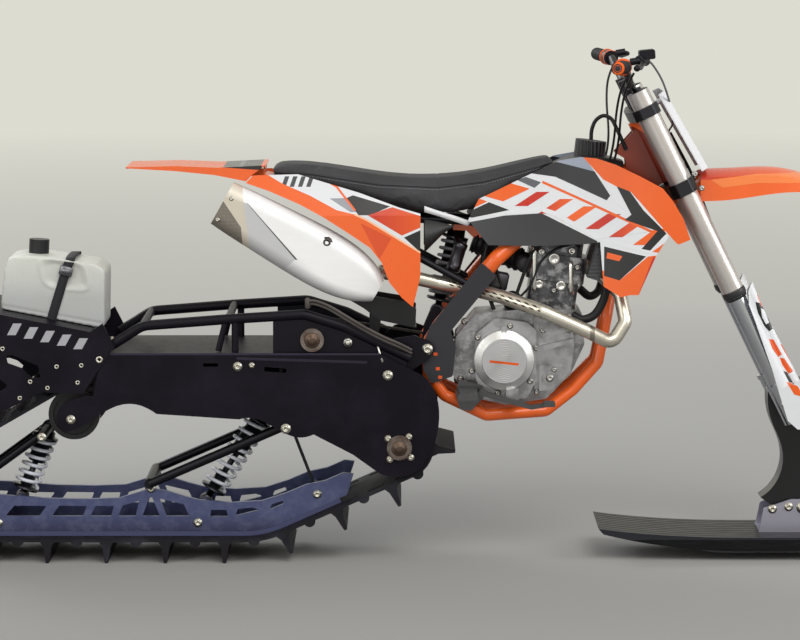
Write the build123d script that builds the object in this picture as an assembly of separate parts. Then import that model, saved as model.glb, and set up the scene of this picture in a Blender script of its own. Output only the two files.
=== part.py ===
"""Snow bike: an off-road motorcycle on a tracked rear kit, steered by a single front ski.

Millimetres. +X is forward, +Y is the rider's left and +Z is up. The origin is on the
ground, midway between the tips of the ski and the track and on the plane of symmetry.
"""

import os
from math import asin, atan2, cos, hypot, pi, radians, sin, tan

from build123d import *

# ---------------------------------------------------------------- driving dimensions
RUN_FIT = 0.3             # gap left between curved faces that seat on each other
SHAFT_FIT = 0.05          # radial clearance of a shaft that turns in its bore

# steering head and fork
RAKE = 26.2               # fork angle from the vertical, degrees
HEAD_X, HEAD_Z = 525.0, 1126.0      # a point on the steering axis near its top
FORK_OFFSET = 22.0        # fork legs ahead of the steering axis
FORK_SPREAD = 210.0       # between the legs' centres
FORK_TOP = -86.0          # leg top, measured down the fork from the head point
OUTER_TUBE_END = 498.0    # where the upper leg tubes end
AXLE_DOWN = 866.0         # fork axle, measured down the fork
AXLE_LEAD = 28.0          # fork axle ahead of the legs
OUTER_TUBE_R = 29.0
HOSE_R = 4.0
GUARD_TOP = 479.0         # upper tip of the guards ahead of the legs
GUARD_R = 33.0            # inside of the guards, round the leg
GUARD_SKIN = 3.0
LUG_TOP = 746.0           # upper end of the axle lugs
LUG_R = 30.0
INNER_TUBE_R = 24.0
UPPER_CLAMP_DOWN = -32.0
LOWER_CLAMP_DOWN = 186.0
STEM_R = 15.0

# handlebar
BAR_WIDTH = 810.0
BAR_R = 14.0
GRIP_R = 17.0
GRIP_LENGTH = 125.0

# track and its suspension
TRACK_WIDTH = 292.0
BELT = 8.0                # belt thickness
LUG_HEIGHT = 55.0
SEAT_Z = LUG_HEIGHT + BELT          # the inside of the belt on its ground run
LINK_PITCH = 76.2
LINK_COUNT = 40
LUG_PHASE = 1.0           # where the first paddle stands, in links
WINDOW_Y = 112.0          # middle of the belt's windows, where the outer drivers reach in
DRIVE_X, DRIVE_Z = -97.5, 307.0
DRIVE_R = 81.0            # inside of the belt on the drivers
CARRIER_X, CARRIER_Z = -933.0, 387.0
CARRIER_R = 66.0
IDLER_R = 89.0
IDLER_SHAFT_R = 12.0
BEND_X = -500.0           # where the rails begin to rise
BEND_R = 250.0
RAIL_Y = 95.0
RAIL_WIDTH = 12.0
SLIDE_HEIGHT = 12.0
RAIL_SHAFT_R = 10.0
RAIL_PEAK = 188.0         # top of the rails under the front arm
RAIL_BACK = 174.0         # top of the rails under the rear arm
FRONT_SHOCK_TOP = (-440.0, 388.0)
FRONT_ARM_TOP = (-388.0, 356.0)
REAR_ARM_TOP = (-1012.0, 334.0)
STRAP_SHAFT = (-318.0, 172.0)
FRONT_SHOCK_FOOT = (-606.0, 138.0)
REAR_SHOCK_FOOT = (-1086.0, 149.0)

# tunnel and its frame
PLATE_Y = 170.0           # outer face of the side plates
PLATE = 5.0
TUBE_Y = 150.0
TUBE_R = 13.0
JACKSHAFT_X, JACKSHAFT_Z = -320.0, 584.0
SPROCKET_R = 28.0
CHAIN_Y = 58.0            # inner side of the drive chain
COUNTERSHAFT_X, COUNTERSHAFT_Z = 95.0, 520.0

RACK_Y = 170.0
REAR_X = -1460.0

# motorcycle frame
CRADLE_R = 15.5
SPINE_R = 23.0
SPAR_R = 20.0
FRAME_Y = 98.0
SUB_Y = 50.0
PIVOT_X, PIVOT_Z = -26.0, 556.0     # swingarm pivot bolt, where the kit hangs
PIVOT_BOLT_R = 8.0
DAMPER_TOP = (55.0, 864.0)
DAMPER_FOOT = (0.0, 640.0)
DAMPER_PIN_R = 7.0
MUFFLER_Y = -104.0

# ski
SKI_WIDTH = 236.0
SKI_TIP_X = 1395.0
SKI_PIVOT_Z = 128.0
SKI_TOP = 62.0
AXLE_R = 12.0
SKI_BOLT_R = 10.0

SIDES = (-1, 1)


# ---------------------------------------------------------------- shape helpers
def outline(y, *runs):
    """A closed outline at side y; a run of two (x, z) points is straight, a longer one is a curve."""
    edges = []
    for run in runs:
        points = [(x, y, z) for x, z in run]
        edges.append(Line(*points) if len(points) == 2 else Spline(*points))
    return make_face(Curve() + edges)


def corners(y, points, radius=0.0):
    """A closed outline at side y with straight edges and, if asked, rounded corners."""
    path = [(x, y, z) for x, z in points]
    if radius:
        return make_face(FilletPolyline(*path, radius=radius, close=True))
    return make_face(Polyline(*path, close=True))


def across(face, thickness):
    """Thicken an outline along +Y."""
    return extrude(face, amount=thickness, dir=(0, 1, 0))


def plate(points, low_y, high_y, radius=0.0):
    """A flat plate between two sides, given its straight-edged outline."""
    return across(corners(low_y, points, radius), high_y - low_y)


def mirrored(solid):
    """The same piece on the other side of the plane of symmetry."""
    return mirror(solid, about=Plane.XZ)


def pair(solid):
    """A piece and its mirror image, apart from each other."""
    return [solid, mirrored(solid)]


def rod(start, end, radius):
    """A straight round bar from one point to another."""
    start, end = Vector(*start), Vector(*end)
    return Solid.make_cylinder(radius, (end - start).length, Plane(origin=start, z_dir=end - start))


def bent_rod(points, radius, bend):
    """A round bar along straight runs joined by arcs."""
    path = FilletPolyline(*points, radius=bend)
    section = Plane(origin=path @ 0, z_dir=path % 0) * Circle(radius)
    return sweep(section, path=path)


def cord(points, radius):
    """A hose along straight runs joined by the largest tangent arcs that they allow."""
    points = [Vector(*point) for point in points]
    radii = []
    for before, at, after in zip(points, points[1:], points[2:]):
        one, two = at - before, after - at
        radii.append(0.45 * min(one.length, two.length) / tan(radians(one.get_angle(two)) / 2))
    path = FilletPolyline(*points, radius=radii)
    hose = sweep(Plane(origin=path @ 0, z_dir=path % 0) * Circle(radius), path=path)
    print("hose", round(path.length), "mm, radii", [round(r) for r in radii],
          "fill", round(hose.volume / (pi * radius ** 2 * path.length), 3))
    return hose


def disc(x, z, radius, low_y, high_y):
    """A disc or wheel across the part."""
    return rod((x, low_y, z), (x, high_y, z), radius)


def skin(sections, ruled=False):
    """A closed body through rounded rectangles: (centre, direction, width, height, corner)."""
    faces = []
    for centre, direction, width, height, corner in sections:
        plane = Plane(origin=centre, x_dir=(0, 1, 0), z_dir=direction)
        faces.append(plane * RectangleRounded(width, height, corner))
    return loft(faces, ruled=ruled)


# ---------------------------------------------------------------- fork geometry
DOWN = Vector(sin(radians(RAKE)), 0, -cos(radians(RAKE)))
FORWARD = Vector(cos(radians(RAKE)), 0, sin(radians(RAKE)))
HEAD = Vector(HEAD_X, 0, HEAD_Z)


def fork_point(down, ahead=0.0, side=0.0):
    """A point measured down the steering axis, ahead of it and to one side."""
    return HEAD + DOWN * down + FORWARD * ahead + Vector(0, side, 0)


def along_fork(low, high, radius, ahead=0.0, side=0.0):
    """A round bar parallel to the fork."""
    return rod(fork_point(low, ahead, side), fork_point(high, ahead, side), radius)


def fork_block(down, thickness, outline_points, radius=6.0):
    """A plate square to the fork; its outline is given as (ahead, side) points."""
    plane = Plane(origin=fork_point(down), x_dir=FORWARD, z_dir=DOWN)
    face = plane * make_face(FilletPolyline(*outline_points, radius=radius, close=True))
    return extrude(face, amount=thickness, dir=DOWN)


AXLE = fork_point(AXLE_DOWN, FORK_OFFSET + AXLE_LEAD)
SKI_PIVOT_X = AXLE.X

# the bar's middle, and the right half's bends and end
BAR_CLAMP = fork_point(UPPER_CLAMP_DOWN - 74, 8)
BAR_BEND_Y = BAR_WIDTH / 2 - 175
BAR_RISE_Y = 0.565 * BAR_BEND_Y
BAR_END = (BAR_CLAMP.X - 50, -BAR_WIDTH / 2, BAR_CLAMP.Z + 62)
BAR_BEND = (BAR_CLAMP.X - 20, -BAR_BEND_Y, BAR_CLAMP.Z + 58)


# ---------------------------------------------------------------- the track's path
def outer_tangent(first, second):
    """Angle of the common tangent on the outer side, going from one pulley to the next."""
    x1, z1, r1 = first
    x2, z2, r2 = second
    line = atan2(z2 - z1, x2 - x1)
    return line + asin((r1 - r2) / hypot(x2 - x1, z2 - z1)) - pi / 2


def pulleys(idler_x):
    """The four round stretches inside the belt, in order, anticlockwise from behind."""
    return [
        (idler_x, IDLER_R + SEAT_Z, IDLER_R),
        (BEND_X, BEND_R + SEAT_Z, BEND_R),
        (DRIVE_X, DRIVE_Z, DRIVE_R),
        (CARRIER_X, CARRIER_Z, CARRIER_R),
    ]


class BeltLine:
    """The loop that the belt follows, at a height outside its inner face."""

    def __init__(self, idler_x):
        wheels = pulleys(idler_x)
        leave = [outer_tangent(wheels[i], wheels[(i + 1) % 4]) for i in range(4)]
        self.parts = []
        for i, (x, z, r) in enumerate(wheels):
            start, end = leave[i - 1], leave[i]
            while end < start:
                end += 2 * pi
            self.parts.append(("arc", x, z, r, start, end))
            nx, nz, nr = wheels[(i + 1) % 4]
            cx, cz = cos(leave[i]), sin(leave[i])
            self.parts.append(("run", x + r * cx, z + r * cz, nx + nr * cx, nz + nr * cz, leave[i]))

    def part_length(self, part, height):
        if part[0] == "arc":
            return (part[3] + height) * (part[5] - part[4])
        return hypot(part[3] - part[1], part[4] - part[2])

    def length(self, height):
        return sum(self.part_length(part, height) for part in self.parts)

    def point(self, along, rise):
        """The point and outward angle at a distance along the belt's middle line."""
        for part in self.parts:
            length = self.part_length(part, BELT / 2)
            if along <= length:
                break
            along -= length
        share = along / length
        if part[0] == "arc":
            angle = part[4] + (part[5] - part[4]) * share
            reach = part[3] + rise
            return part[1] + reach * cos(angle), part[2] + reach * sin(angle), angle
        x = part[1] + (part[3] - part[1]) * share + rise * cos(part[5])
        z = part[2] + (part[4] - part[2]) * share + rise * sin(part[5])
        return x, z, part[5]

    def loop(self, y, height):
        """The closed line at a height, as tangent arcs and straight runs."""
        edges = []
        for part in self.parts:
            if part[0] == "arc":
                _, x, z, r, start, end = part
                points = [(x + (r + height) * cos(a), y, z + (r + height) * sin(a))
                          for a in (start, (start + end) / 2, end)]
                edges.append(ThreePointArc(*points))
            else:
                _, x1, z1, x2, z2, angle = part
                dx, dz = height * cos(angle), height * sin(angle)
                edges.append(Line((x1 + dx, y, z1 + dz), (x2 + dx, y, z2 + dz)))
        return make_face(Curve() + edges)


def solve_idler():
    """The rear idler's place that makes the loop a whole number of links long."""
    wanted = LINK_PITCH * LINK_COUNT
    low, high = -2000.0, CARRIER_X - IDLER_R
    while high - low > 0.0005:
        middle = (low + high) / 2
        if BeltLine(middle).length(BELT / 2) > wanted:
            low = middle
        else:
            high = middle
    return (low + high) / 2


IDLER_X = solve_idler()
IDLER_Z = IDLER_R + SEAT_Z
BELT_LINE = BeltLine(IDLER_X)


def belt_tooth(along, base_rise, base, tip_rise, tip):
    """The side outline of one lug standing on the belt."""
    points = []
    for rise, half in ((base_rise, -base / 2), (tip_rise, -tip / 2), (tip_rise, tip / 2), (base_rise, base / 2)):
        x, z, angle = BELT_LINE.point(along, rise)
        points.append((x - half * sin(angle), z + half * cos(angle)))
    return points


def make_track():
    """One belt with a tall paddle on every second link, low bars between and a window beside each link."""
    half = TRACK_WIDTH / 2
    belt = across(BELT_LINE.loop(-half, BELT) - BELT_LINE.loop(-half, 0), TRACK_WIDTH)
    pieces, windows = [], []
    for link in range(LINK_COUNT):
        along = (link + LUG_PHASE) % LINK_COUNT * LINK_PITCH
        if link % 2 == 0:
            foot = belt_tooth(along, BELT / 2, 40, BELT + 12, 22)
            blade = belt_tooth(along, BELT / 2, 26, BELT + LUG_HEIGHT, 8)
            pieces += [plate(foot, -half, half), plate(blade, -half, half)]
        else:
            x, z, _ = BELT_LINE.point(along, BELT - 3)
            pieces.append(disc(x, z, 15, -half, half))
        middle = (link + LUG_PHASE + 0.5) % LINK_COUNT * LINK_PITCH
        hole = belt_tooth(middle, -4, 44, BELT + 4, 44)
        for side in SIDES:
            y = side * WINDOW_Y
            windows.append(plate(hole, y - 8, y + 8))
    inside = BELT_LINE.loop(-half - 1, 0)
    return belt.fuse(*pieces).cut(across(inside, TRACK_WIDTH + 2), *windows)


def make_rails():
    """Two rails, each a low band on its slide, a top chord, slanted struts and a risen nose, on cross shafts."""
    rear = IDLER_X - 34
    top = [(rear, RAIL_BACK), (-1190, RAIL_BACK), (-1136, 172), (-1004, 162), (-905, 160), (-822, 163), (-776, 177),
           (-741, RAIL_PEAK), (-700, 182), (-655, 168), (-616, 158), (-532, 151), (-452, 156), (-390, 176),
           (-339, 198), (-288, 209), (-243, 229), (-216, 226)]
    foot = SEAT_Z + SLIDE_HEIGHT + RUN_FIT
    ramp = BELT_LINE.parts[3]
    angle = ramp[5]
    reach = BEND_R - SLIDE_HEIGHT - RUN_FIT
    bend = [(BEND_X + reach * cos(a), SEAT_Z + BEND_R + reach * sin(a))
            for a in (-pi / 2, (-pi / 2 + angle) / 2, angle)]
    run = 186.0
    nose = (bend[2][0] - run * sin(angle), bend[2][1] + run * cos(angle))
    y = -RAIL_Y - RAIL_WIDTH / 2
    edges = [Polyline(*[(x, y, z) for x, z in reversed(top)])]
    edges.append(Line((rear, y, top[0][1]), (rear, y, 128)))
    edges.append(Line((rear, y, 128), (IDLER_X + 12, y, foot)))
    edges.append(Line((IDLER_X + 12, y, foot), (BEND_X, y, foot)))
    edges.append(ThreePointArc(*[(x, y, z) for x, z in bend]))
    edges.append(Line((bend[2][0], y, bend[2][1]), (nose[0], y, nose[1])))
    edges.append(Line((nose[0], y, nose[1]), (top[-1][0], y, top[-1][1])))
    rail = across(make_face(Curve() + edges), RAIL_WIDTH)
    for hole in ([(-1212, 115), (-1188, 148), (-1134, 146), (-1148, 115)],
                 [(-1118, 115), (-1094, 143), (-1010, 142), (-1030, 115)],
                 [(-998, 115), (-978, 143), (-906, 142), (-917, 115)],
                 [(-898, 115), (-884, 142), (-836, 142), (-844, 115)],
                 [(-826, 115), (-814, 143), (-770, 156), (-781, 115)],
                 [(-763, 115), (-745, 164), (-737, 164), (-717, 115)],
                 [(-700, 115), (-719, 162), (-656, 147), (-641, 115)],
                 [(-588, 114), (-584, 132), (-545, 132), (-541, 114)],
                 [(-522, 116), (-516, 134), (-478, 138), (-458, 132)],
                 [(-434, 132), (-428, 146), (-400, 156), (-396, 148)]):
        rail -= plate(hole, y - 1, y + RAIL_WIDTH + 1, 2)
    rail -= disc(IDLER_X, IDLER_Z, IDLER_SHAFT_R + RUN_FIT, y - 1, y + RAIL_WIDTH + 1)
    body = rail + mirrored(rail)
    inner = RAIL_Y - RAIL_WIDTH / 4
    for x, z in (FRONT_SHOCK_FOOT, REAR_SHOCK_FOOT, STRAP_SHAFT):
        body = body + rod((x, -inner, z), (x, inner, z), RAIL_SHAFT_R)
    return body


def make_slides():
    """The two wear strips under the rails."""
    y = -RAIL_Y - RAIL_WIDTH / 2
    low, high = RUN_FIT, SLIDE_HEIGHT
    angle = BELT_LINE.parts[3][5]
    edges = []
    ends = []
    for rise in (low, high):
        reach = BEND_R - rise
        bend = [(BEND_X + reach * cos(a), y, SEAT_Z + BEND_R + reach * sin(a))
                for a in (-pi / 2, (-pi / 2 + angle) / 2, angle)]
        run = 165.0
        nose = (bend[2][0] - run * sin(angle), y, bend[2][2] + run * cos(angle))
        tail = (IDLER_X + 14, y, SEAT_Z + rise)
        edges += [Line(tail, bend[0]), ThreePointArc(*bend), Line(bend[2], nose)]
        ends.append((tail, nose))
    edges += [Line(ends[0][0], ends[1][0]), Line(ends[0][1], ends[1][1])]
    return pair(across(make_face(Curve() + edges), RAIL_WIDTH))


def wheel(x, z, radius, y, width, bore):
    """A plain idler wheel with a dished web."""
    tyre = disc(x, z, radius, y - width / 2, y + width / 2) - disc(x, z, radius - 12, y - width, y + width)
    web = disc(x, z, radius - 11, y - 4, y + 4)
    hub = disc(x, z, bore + 12, y - width / 2 - 2, y + width / 2 + 2)
    return tyre + web + hub


def make_track_wheels():
    """Two rear idler wheels on one shaft, and two carrier wheels on another."""
    rear = disc(IDLER_X, IDLER_Z, IDLER_SHAFT_R, -126, 126)
    for y in (-RAIL_Y - 22, RAIL_Y + 22):
        rear = rear + wheel(IDLER_X, IDLER_Z, IDLER_R - RUN_FIT, y, 22, IDLER_SHAFT_R)
    inner = PLATE_Y - PLATE
    carrier = disc(CARRIER_X, CARRIER_Z, 11, -inner, inner)
    for y in (-RAIL_Y - 22, RAIL_Y + 22):
        carrier = carrier + wheel(CARRIER_X, CARRIER_Z, CARRIER_R - RUN_FIT, y, 24, 11)
    return [rear, carrier]


def make_drive_shafts():
    """The axle with its scalloped drivers, and the upper shaft with the chain's sprocket."""
    inner = PLATE_Y - PLATE
    axle = disc(DRIVE_X, DRIVE_Z, 16, -inner, inner)
    teeth = 7
    for y in (-WINDOW_Y, -38, 38, WINDOW_Y):
        driver = disc(DRIVE_X, DRIVE_Z, DRIVE_R - RUN_FIT, y - 8, y + 8)
        for tooth in range(teeth):
            angle = 2 * pi * tooth / teeth
            driver -= disc(DRIVE_X + 88 * cos(angle), DRIVE_Z + 88 * sin(angle), 24, y - 9, y + 9)
        axle = axle + driver
    upper = disc(JACKSHAFT_X, JACKSHAFT_Z, 14, -TUBE_Y + 4, TUBE_Y - 4)
    upper = upper + disc(JACKSHAFT_X, JACKSHAFT_Z, SPROCKET_R, CHAIN_Y + 1, CHAIN_Y + 8)
    return [axle, upper]


def make_side_plates():
    """The tunnel's two side plates, with the front lobe round the driver and two snow slots."""
    runs = [
        [(-835, 551), (-150, 551)],
        [(-150, 551), (-62, 504)],
        [(-62, 504), (-28, 484), (0, 430), (4, 380), (-6, 322), (-38, 257)],
        [(-38, 257), (-70, 236), (-110, 230), (-160, 248)],
        [(-160, 248), (-217, 289)],
        [(-217, 289), (-317, 341)],
        [(-317, 341), (-382, 340), (-440, 372), (-507, 380)],
        [(-507, 380), (-718, 394)],
        [(-718, 394), (-850, 400), (-895, 372), (-960, 352), (-972, 396), (-930, 432), (-880, 440)],
        [(-880, 440), (-860, 530)],
        [(-860, 530), (-835, 551)],
    ]
    blank = across(outline(-PLATE_Y, *runs), PLATE)
    for slot in ([(-598, 516), (-560, 516), (-560, 525), (-598, 525)],
                 [(-442, 516), (-386, 511), (-386, 500), (-442, 504)]):
        blank -= plate(slot, -PLATE_Y - 1, -PLATE_Y + PLATE + 1, 3)
    return pair(blank)


def make_tunnel_top():
    """The tunnel's roof between the side plates, slotted for the drive chain."""
    inner = PLATE_Y - PLATE
    top = plate([(-835, 551), (-150, 551), (-62, 504), (-64.5, 500), (-151, 546.5), (-835, 546.5)], -inner, inner)
    slot = plate([(-370, 480), (-40, 480), (-40, 570), (-370, 570)], CHAIN_Y - 10, CHAIN_Y + 19)
    return top - slot


def make_kit_frame():
    """The kit's upper frame: two long side tubes with posts and gussets, tied by cross tubes."""
    path = [(-837, -TUBE_Y, 566), (-753, -TUBE_Y, 619), (-534, -TUBE_Y, 636), (-340, -TUBE_Y, 648),
            (-237, -TUBE_Y, 616), (-157, -TUBE_Y, 577), (-70, -TUBE_Y, 536)]
    side = bent_rod(path, TUBE_R, 60)
    side = side + rod((-517, -TUBE_Y, 551), (-517, -TUBE_Y, 636), 9)
    side = side + rod((-560, -TUBE_Y, 554), (-540, -TUBE_Y, 635), 8)
    gusset = plate([(-420, 551), (-150, 551), (-80, 513.7), (-76, 538), (-157, 577), (-237, 612), (-340, 644),
                    (-420, 640)], -TUBE_Y - 4, -TUBE_Y + 4)
    side = side + gusset
    body = side + mirrored(side)
    for x, z in ((-753, 619), (-534, 636)):
        body = body + rod((x, -TUBE_Y, z), (x, TUBE_Y, z), 10)
    return body


def make_bearing_caps():
    """The bearing housings outside the side plates, round with four bolt lugs, and on the kit's gussets."""
    lower = disc(DRIVE_X, DRIVE_Z, 32, -PLATE_Y - 5, -PLATE_Y) + disc(DRIVE_X, DRIVE_Z, 27, -PLATE_Y - 13, -PLATE_Y)
    for lug in range(4):
        angle = radians(50 + 90 * lug)
        lower = lower + disc(DRIVE_X + 38 * cos(angle), DRIVE_Z + 38 * sin(angle), 9, -PLATE_Y - 5, -PLATE_Y)
    upper = disc(JACKSHAFT_X, JACKSHAFT_Z, 30, -TUBE_Y - 18, -TUBE_Y - 4)
    return pair(lower) + pair(upper)


def make_suspension_arms():
    """The long front arm and the short rear arm, each two tubes with cross tubes, and the shock's shaft."""
    low, high = (-742, RAIL_PEAK + 14 + RUN_FIT), FRONT_ARM_TOP
    y = 112.0
    side = rod((low[0], -y, low[1]), (high[0], -y, high[1]), 12)
    front = side + mirrored(side)
    front = front + rod((low[0], -y, low[1]), (low[0], y, low[1]), 14)
    inner = PLATE_Y - PLATE
    front = front + rod((high[0], -inner, high[1]), (high[0], inner, high[1]), 14)
    x, z = FRONT_SHOCK_TOP
    shaft = rod((x, -inner, z), (x, inner, z), 9)
    low, high = (-1216, RAIL_BACK + 12 + RUN_FIT), REAR_ARM_TOP
    y = 70.0
    side = rod((low[0], -y, low[1]), (high[0], -y, high[1]), 11)
    rear = side + mirrored(side)
    rear = rear + rod((low[0], -RAIL_Y - 4, low[1]), (low[0], RAIL_Y + 4, low[1]), 12)
    rear = rear + rod((high[0], -inner, high[1]), (high[0], inner, high[1]), 12)
    return [front, shaft, rear]


def shock(low, high, y, spring_r, turns, low_bore, high_bore):
    """A coil-over damper between two cross pins: eyes, rod, spring seats, coils and body."""
    low, high = Vector(low[0], y, low[1]), Vector(high[0], y, high[1])
    reach = (high - low).length
    plane = Plane(origin=low, x_dir=(0, 1, 0), z_dir=high - low)
    seat_low, seat_high = reach * 0.12, reach * 0.84
    profile = [(0, 4), (9, 4), (9, seat_low), (spring_r + 4, seat_low), (spring_r + 4, seat_low + 6)]
    step = (seat_high - seat_low - 6) / turns
    for turn in range(turns):
        start = seat_low + 6 + turn * step
        profile += [(spring_r - 6, start + step * 0.1), (spring_r - 6, start + step * 0.35),
                    (spring_r + 2, start + step * 0.48), (spring_r + 2, start + step * 0.72),
                    (spring_r - 6, start + step * 0.85)]
    profile += [(spring_r + 4, seat_high), (spring_r + 4, seat_high + 6), (16, seat_high + 6), (16, reach - 4),
                (0, reach - 4)]
    body = revolve(make_face(Polyline(*[(r, 0, h) for r, h in profile], close=True)), axis=Axis.Z)
    body = plane * body
    for point, bore in ((low, low_bore), (high, high_bore)):
        body = body + disc(point.X, point.Z, bore + 8, y - 14, y + 14)
    for point, bore in ((low, low_bore), (high, high_bore)):
        body = body - disc(point.X, point.Z, bore + RUN_FIT, y - 60, y + 60)
    return body


def make_track_shocks():
    """The two coil-over dampers of the track's suspension."""
    return [shock(FRONT_SHOCK_FOOT, FRONT_SHOCK_TOP, 0, 32, 6, RAIL_SHAFT_R, 9),
            shock(REAR_SHOCK_FOOT, REAR_ARM_TOP, 0, 32, 6, RAIL_SHAFT_R, 12)]


def make_limiter_strap():
    """The strap that stops the nose of the skid from dropping, looped on the arm's tube and a rail shaft."""
    top, foot = Vector(FRONT_ARM_TOP[0], 0, FRONT_ARM_TOP[1]), Vector(STRAP_SHAFT[0], 0, STRAP_SHAFT[1])
    along = (foot - top).normalized()
    off = Vector(along.Z, 0, -along.X) * 2.5
    ends = [top + along * 15 + off, foot - along * 11 + off, foot - along * 11 - off, top + along * 15 - off]
    strap = plate([(p.X, p.Z) for p in ends], -18, 18)
    for point, radius in ((top, 14), (foot, RAIL_SHAFT_R)):
        loop = disc(point.X, point.Z, radius + 3.5, -18, 18) - disc(point.X, point.Z, radius + RUN_FIT, -19, 19)
        strap = strap + loop
    return strap


def make_rear_rack():
    """The rack behind the tunnel: two slanted sides with lightening holes, a tray and a rear bar."""
    points = [(-835, 551), (-822, 566), (-853, 628), (-884, 606), (-1136, 655), (-1440, 714),
              (-1448, 690), (-1330, 560), (-1290, 430), (-1250, 352), (-1210, 352), (-1136, 388), (-1010, 451),
              (-905, 446), (-870, 500)]
    side = plate(points, -RACK_Y - 4, -RACK_Y)
    for hole, radius in (([(-1099, 545), (-1084, 547), (-1018, 519), (-1012, 488), (-1034, 487), (-1060, 513), (-1096, 526)], 3),
                         ([(-1117, 508), (-1138, 532), (-1192, 556), (-1200, 541), (-1140, 512)], 3),
                         ([(-1150, 489), (-1134, 490), (-1114, 483), (-1098, 470), (-1104, 459), (-1118, 452)], 3),
                         ([(-1322, 628), (-1238, 612), (-1222, 540), (-1266, 486)], 8),
                         ([(-1206, 498), (-1172, 476), (-1166, 432), (-1212, 396), (-1240, 420)], 8)):
        side -= plate(hole, -RACK_Y - 5, -RACK_Y + 1, radius)
    tray = plate([(-1430, 712), (-1430, 708), (-884, 602), (-884, 606)], -RACK_Y - 2, RACK_Y + 2)
    bar = rod((REAR_X + 12, -RACK_Y - 2, 704), (REAR_X + 12, RACK_Y + 2, 704), 12)
    return side + mirrored(side) + tray + bar


def make_jug():
    """The fuel can on the rack, with rounded corners."""
    points = [(-1124, 653.2), (-1112, 758), (-1102, 786), (-1068, 792), (-1000, 788), (-876, 770),
              (-852, 752), (-856, 601.0)]
    return plate(points, -84, 84, 12)


def make_jug_cap():
    return rod((-1032, 0, 790.5), (-1030, 0, 826), 26)


def make_jug_strap():
    """The strap over the can."""
    band = plate([(-950, 783.2), (-918, 778.6), (-918, 619.0), (-950, 625.0)], -86.4, 86.4)
    return band - make_jug()


# ---------------------------------------------------------------- motorcycle
def make_main_frame():
    """Steering head, its gussets, backbone, spars, downtube, cradle and the damper's top bracket."""
    body = along_fork(-12, 162, 31)
    body = body + rod(fork_point(128), (330, 0, 915), SPINE_R)
    body = body + rod(fork_point(92), (448, 0, 690), 19)
    gusset = plate([(456, 1052), (508, 1112), (530, 1100), (590, 985), (566, 962), (486, 1012), (484, 1036)], -26, -22)
    body = body + gusset + mirrored(gusset)
    for side in SIDES:
        y = side * FRAME_Y
        spar = bent_rod([(345, side * 12, 918), (250, side * 55, 870), (150, y, 785), (5, y, 610),
                         (-26, y, 556), (-14, y, 466)], SPAR_R, 30)
        cradle = bent_rod([(-8, y, 468), (18, y, 432), (127, y * 0.95, 379), (280, y * 0.8, 388),
                           (351, y * 0.65, 441), (415, y * 0.5, 510), (438, y * 0.35, 630), (452, side * 4, 700)],
                          CRADLE_R, 26)
        body = body + spar + cradle
    for x, z in ((-8, 470), (150, 785)):
        body = body + rod((x, -FRAME_Y, z), (x, FRAME_Y, z), 14)
    x, z = DAMPER_TOP
    ear = plate([(150, 778), (166, 798), (x + 16, z + 14), (x - 14, z + 12), (x - 14, z - 12), (x + 20, z - 14)], -24, -17)
    body = body + ear + mirrored(ear) + rod((x, -24, z), (x, 24, z), DAMPER_PIN_R)
    body = body - disc(PIVOT_X, PIVOT_Z, PIVOT_BOLT_R + RUN_FIT, -150, 150)
    return body - along_fork(-40, 200, STEM_R + SHAFT_FIT)


def make_subframe():
    """The light rear frame under the seat."""
    pieces = []
    for side in SIDES:
        y = side * SUB_Y
        upper = bent_rod([(235, side * 60, 862), (60, y, 878), (-150, y, 886), (-430, y, 965)], 10, 60)
        lower = rod((90, side * 90, 712), (-330, y, 938), 9)
        pieces.append(upper + lower)
    body = pieces[0] + pieces[1]
    for x, z in ((-400, 957), (-100, 884)):
        body = body + rod((x, -SUB_Y, z), (x, SUB_Y, z), 9)
    return body - make_main_frame()


def make_engine_case():
    """The crankcase with its gearbox, stepped in behind for the chain."""
    points = [(40, 480), (80, 424), (180, 402), (282, 418), (346, 486), (380, 560), (372, 650),
              (210, 650), (100, 640), (48, 580)]
    case = plate(points, -70, 70, 16)
    room = SPROCKET_R + 16
    case -= disc(COUNTERSHAFT_X, COUNTERSHAFT_Z, room, CHAIN_Y - 4, 72)
    case -= plate([(20, COUNTERSHAFT_Z - room), (COUNTERSHAFT_X, COUNTERSHAFT_Z - room),
                   (COUNTERSHAFT_X, COUNTERSHAFT_Z + room), (20, COUNTERSHAFT_Z + room)], CHAIN_Y - 4, 72)
    return case + disc(COUNTERSHAFT_X, COUNTERSHAFT_Z, SPROCKET_R, CHAIN_Y - 6, CHAIN_Y + 8)


def make_cylinder():
    """Cylinder, head and cam cover, leaning forward a little."""
    lean = Vector(sin(radians(8)), 0, cos(radians(8)))
    base = Vector(292, 0, 650)

    def block(rise, height, width, length, corner):
        plane = Plane(origin=base + lean * rise, x_dir=(0, 1, 0), z_dir=lean)
        return extrude(plane * RectangleRounded(width, length, corner), amount=height, dir=lean)

    body = block(-16, 90, 118, 126, 14) + block(74, 68, 138, 150, 18) + block(142, 38, 112, 124, 22)
    return body - make_engine_case()


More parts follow.
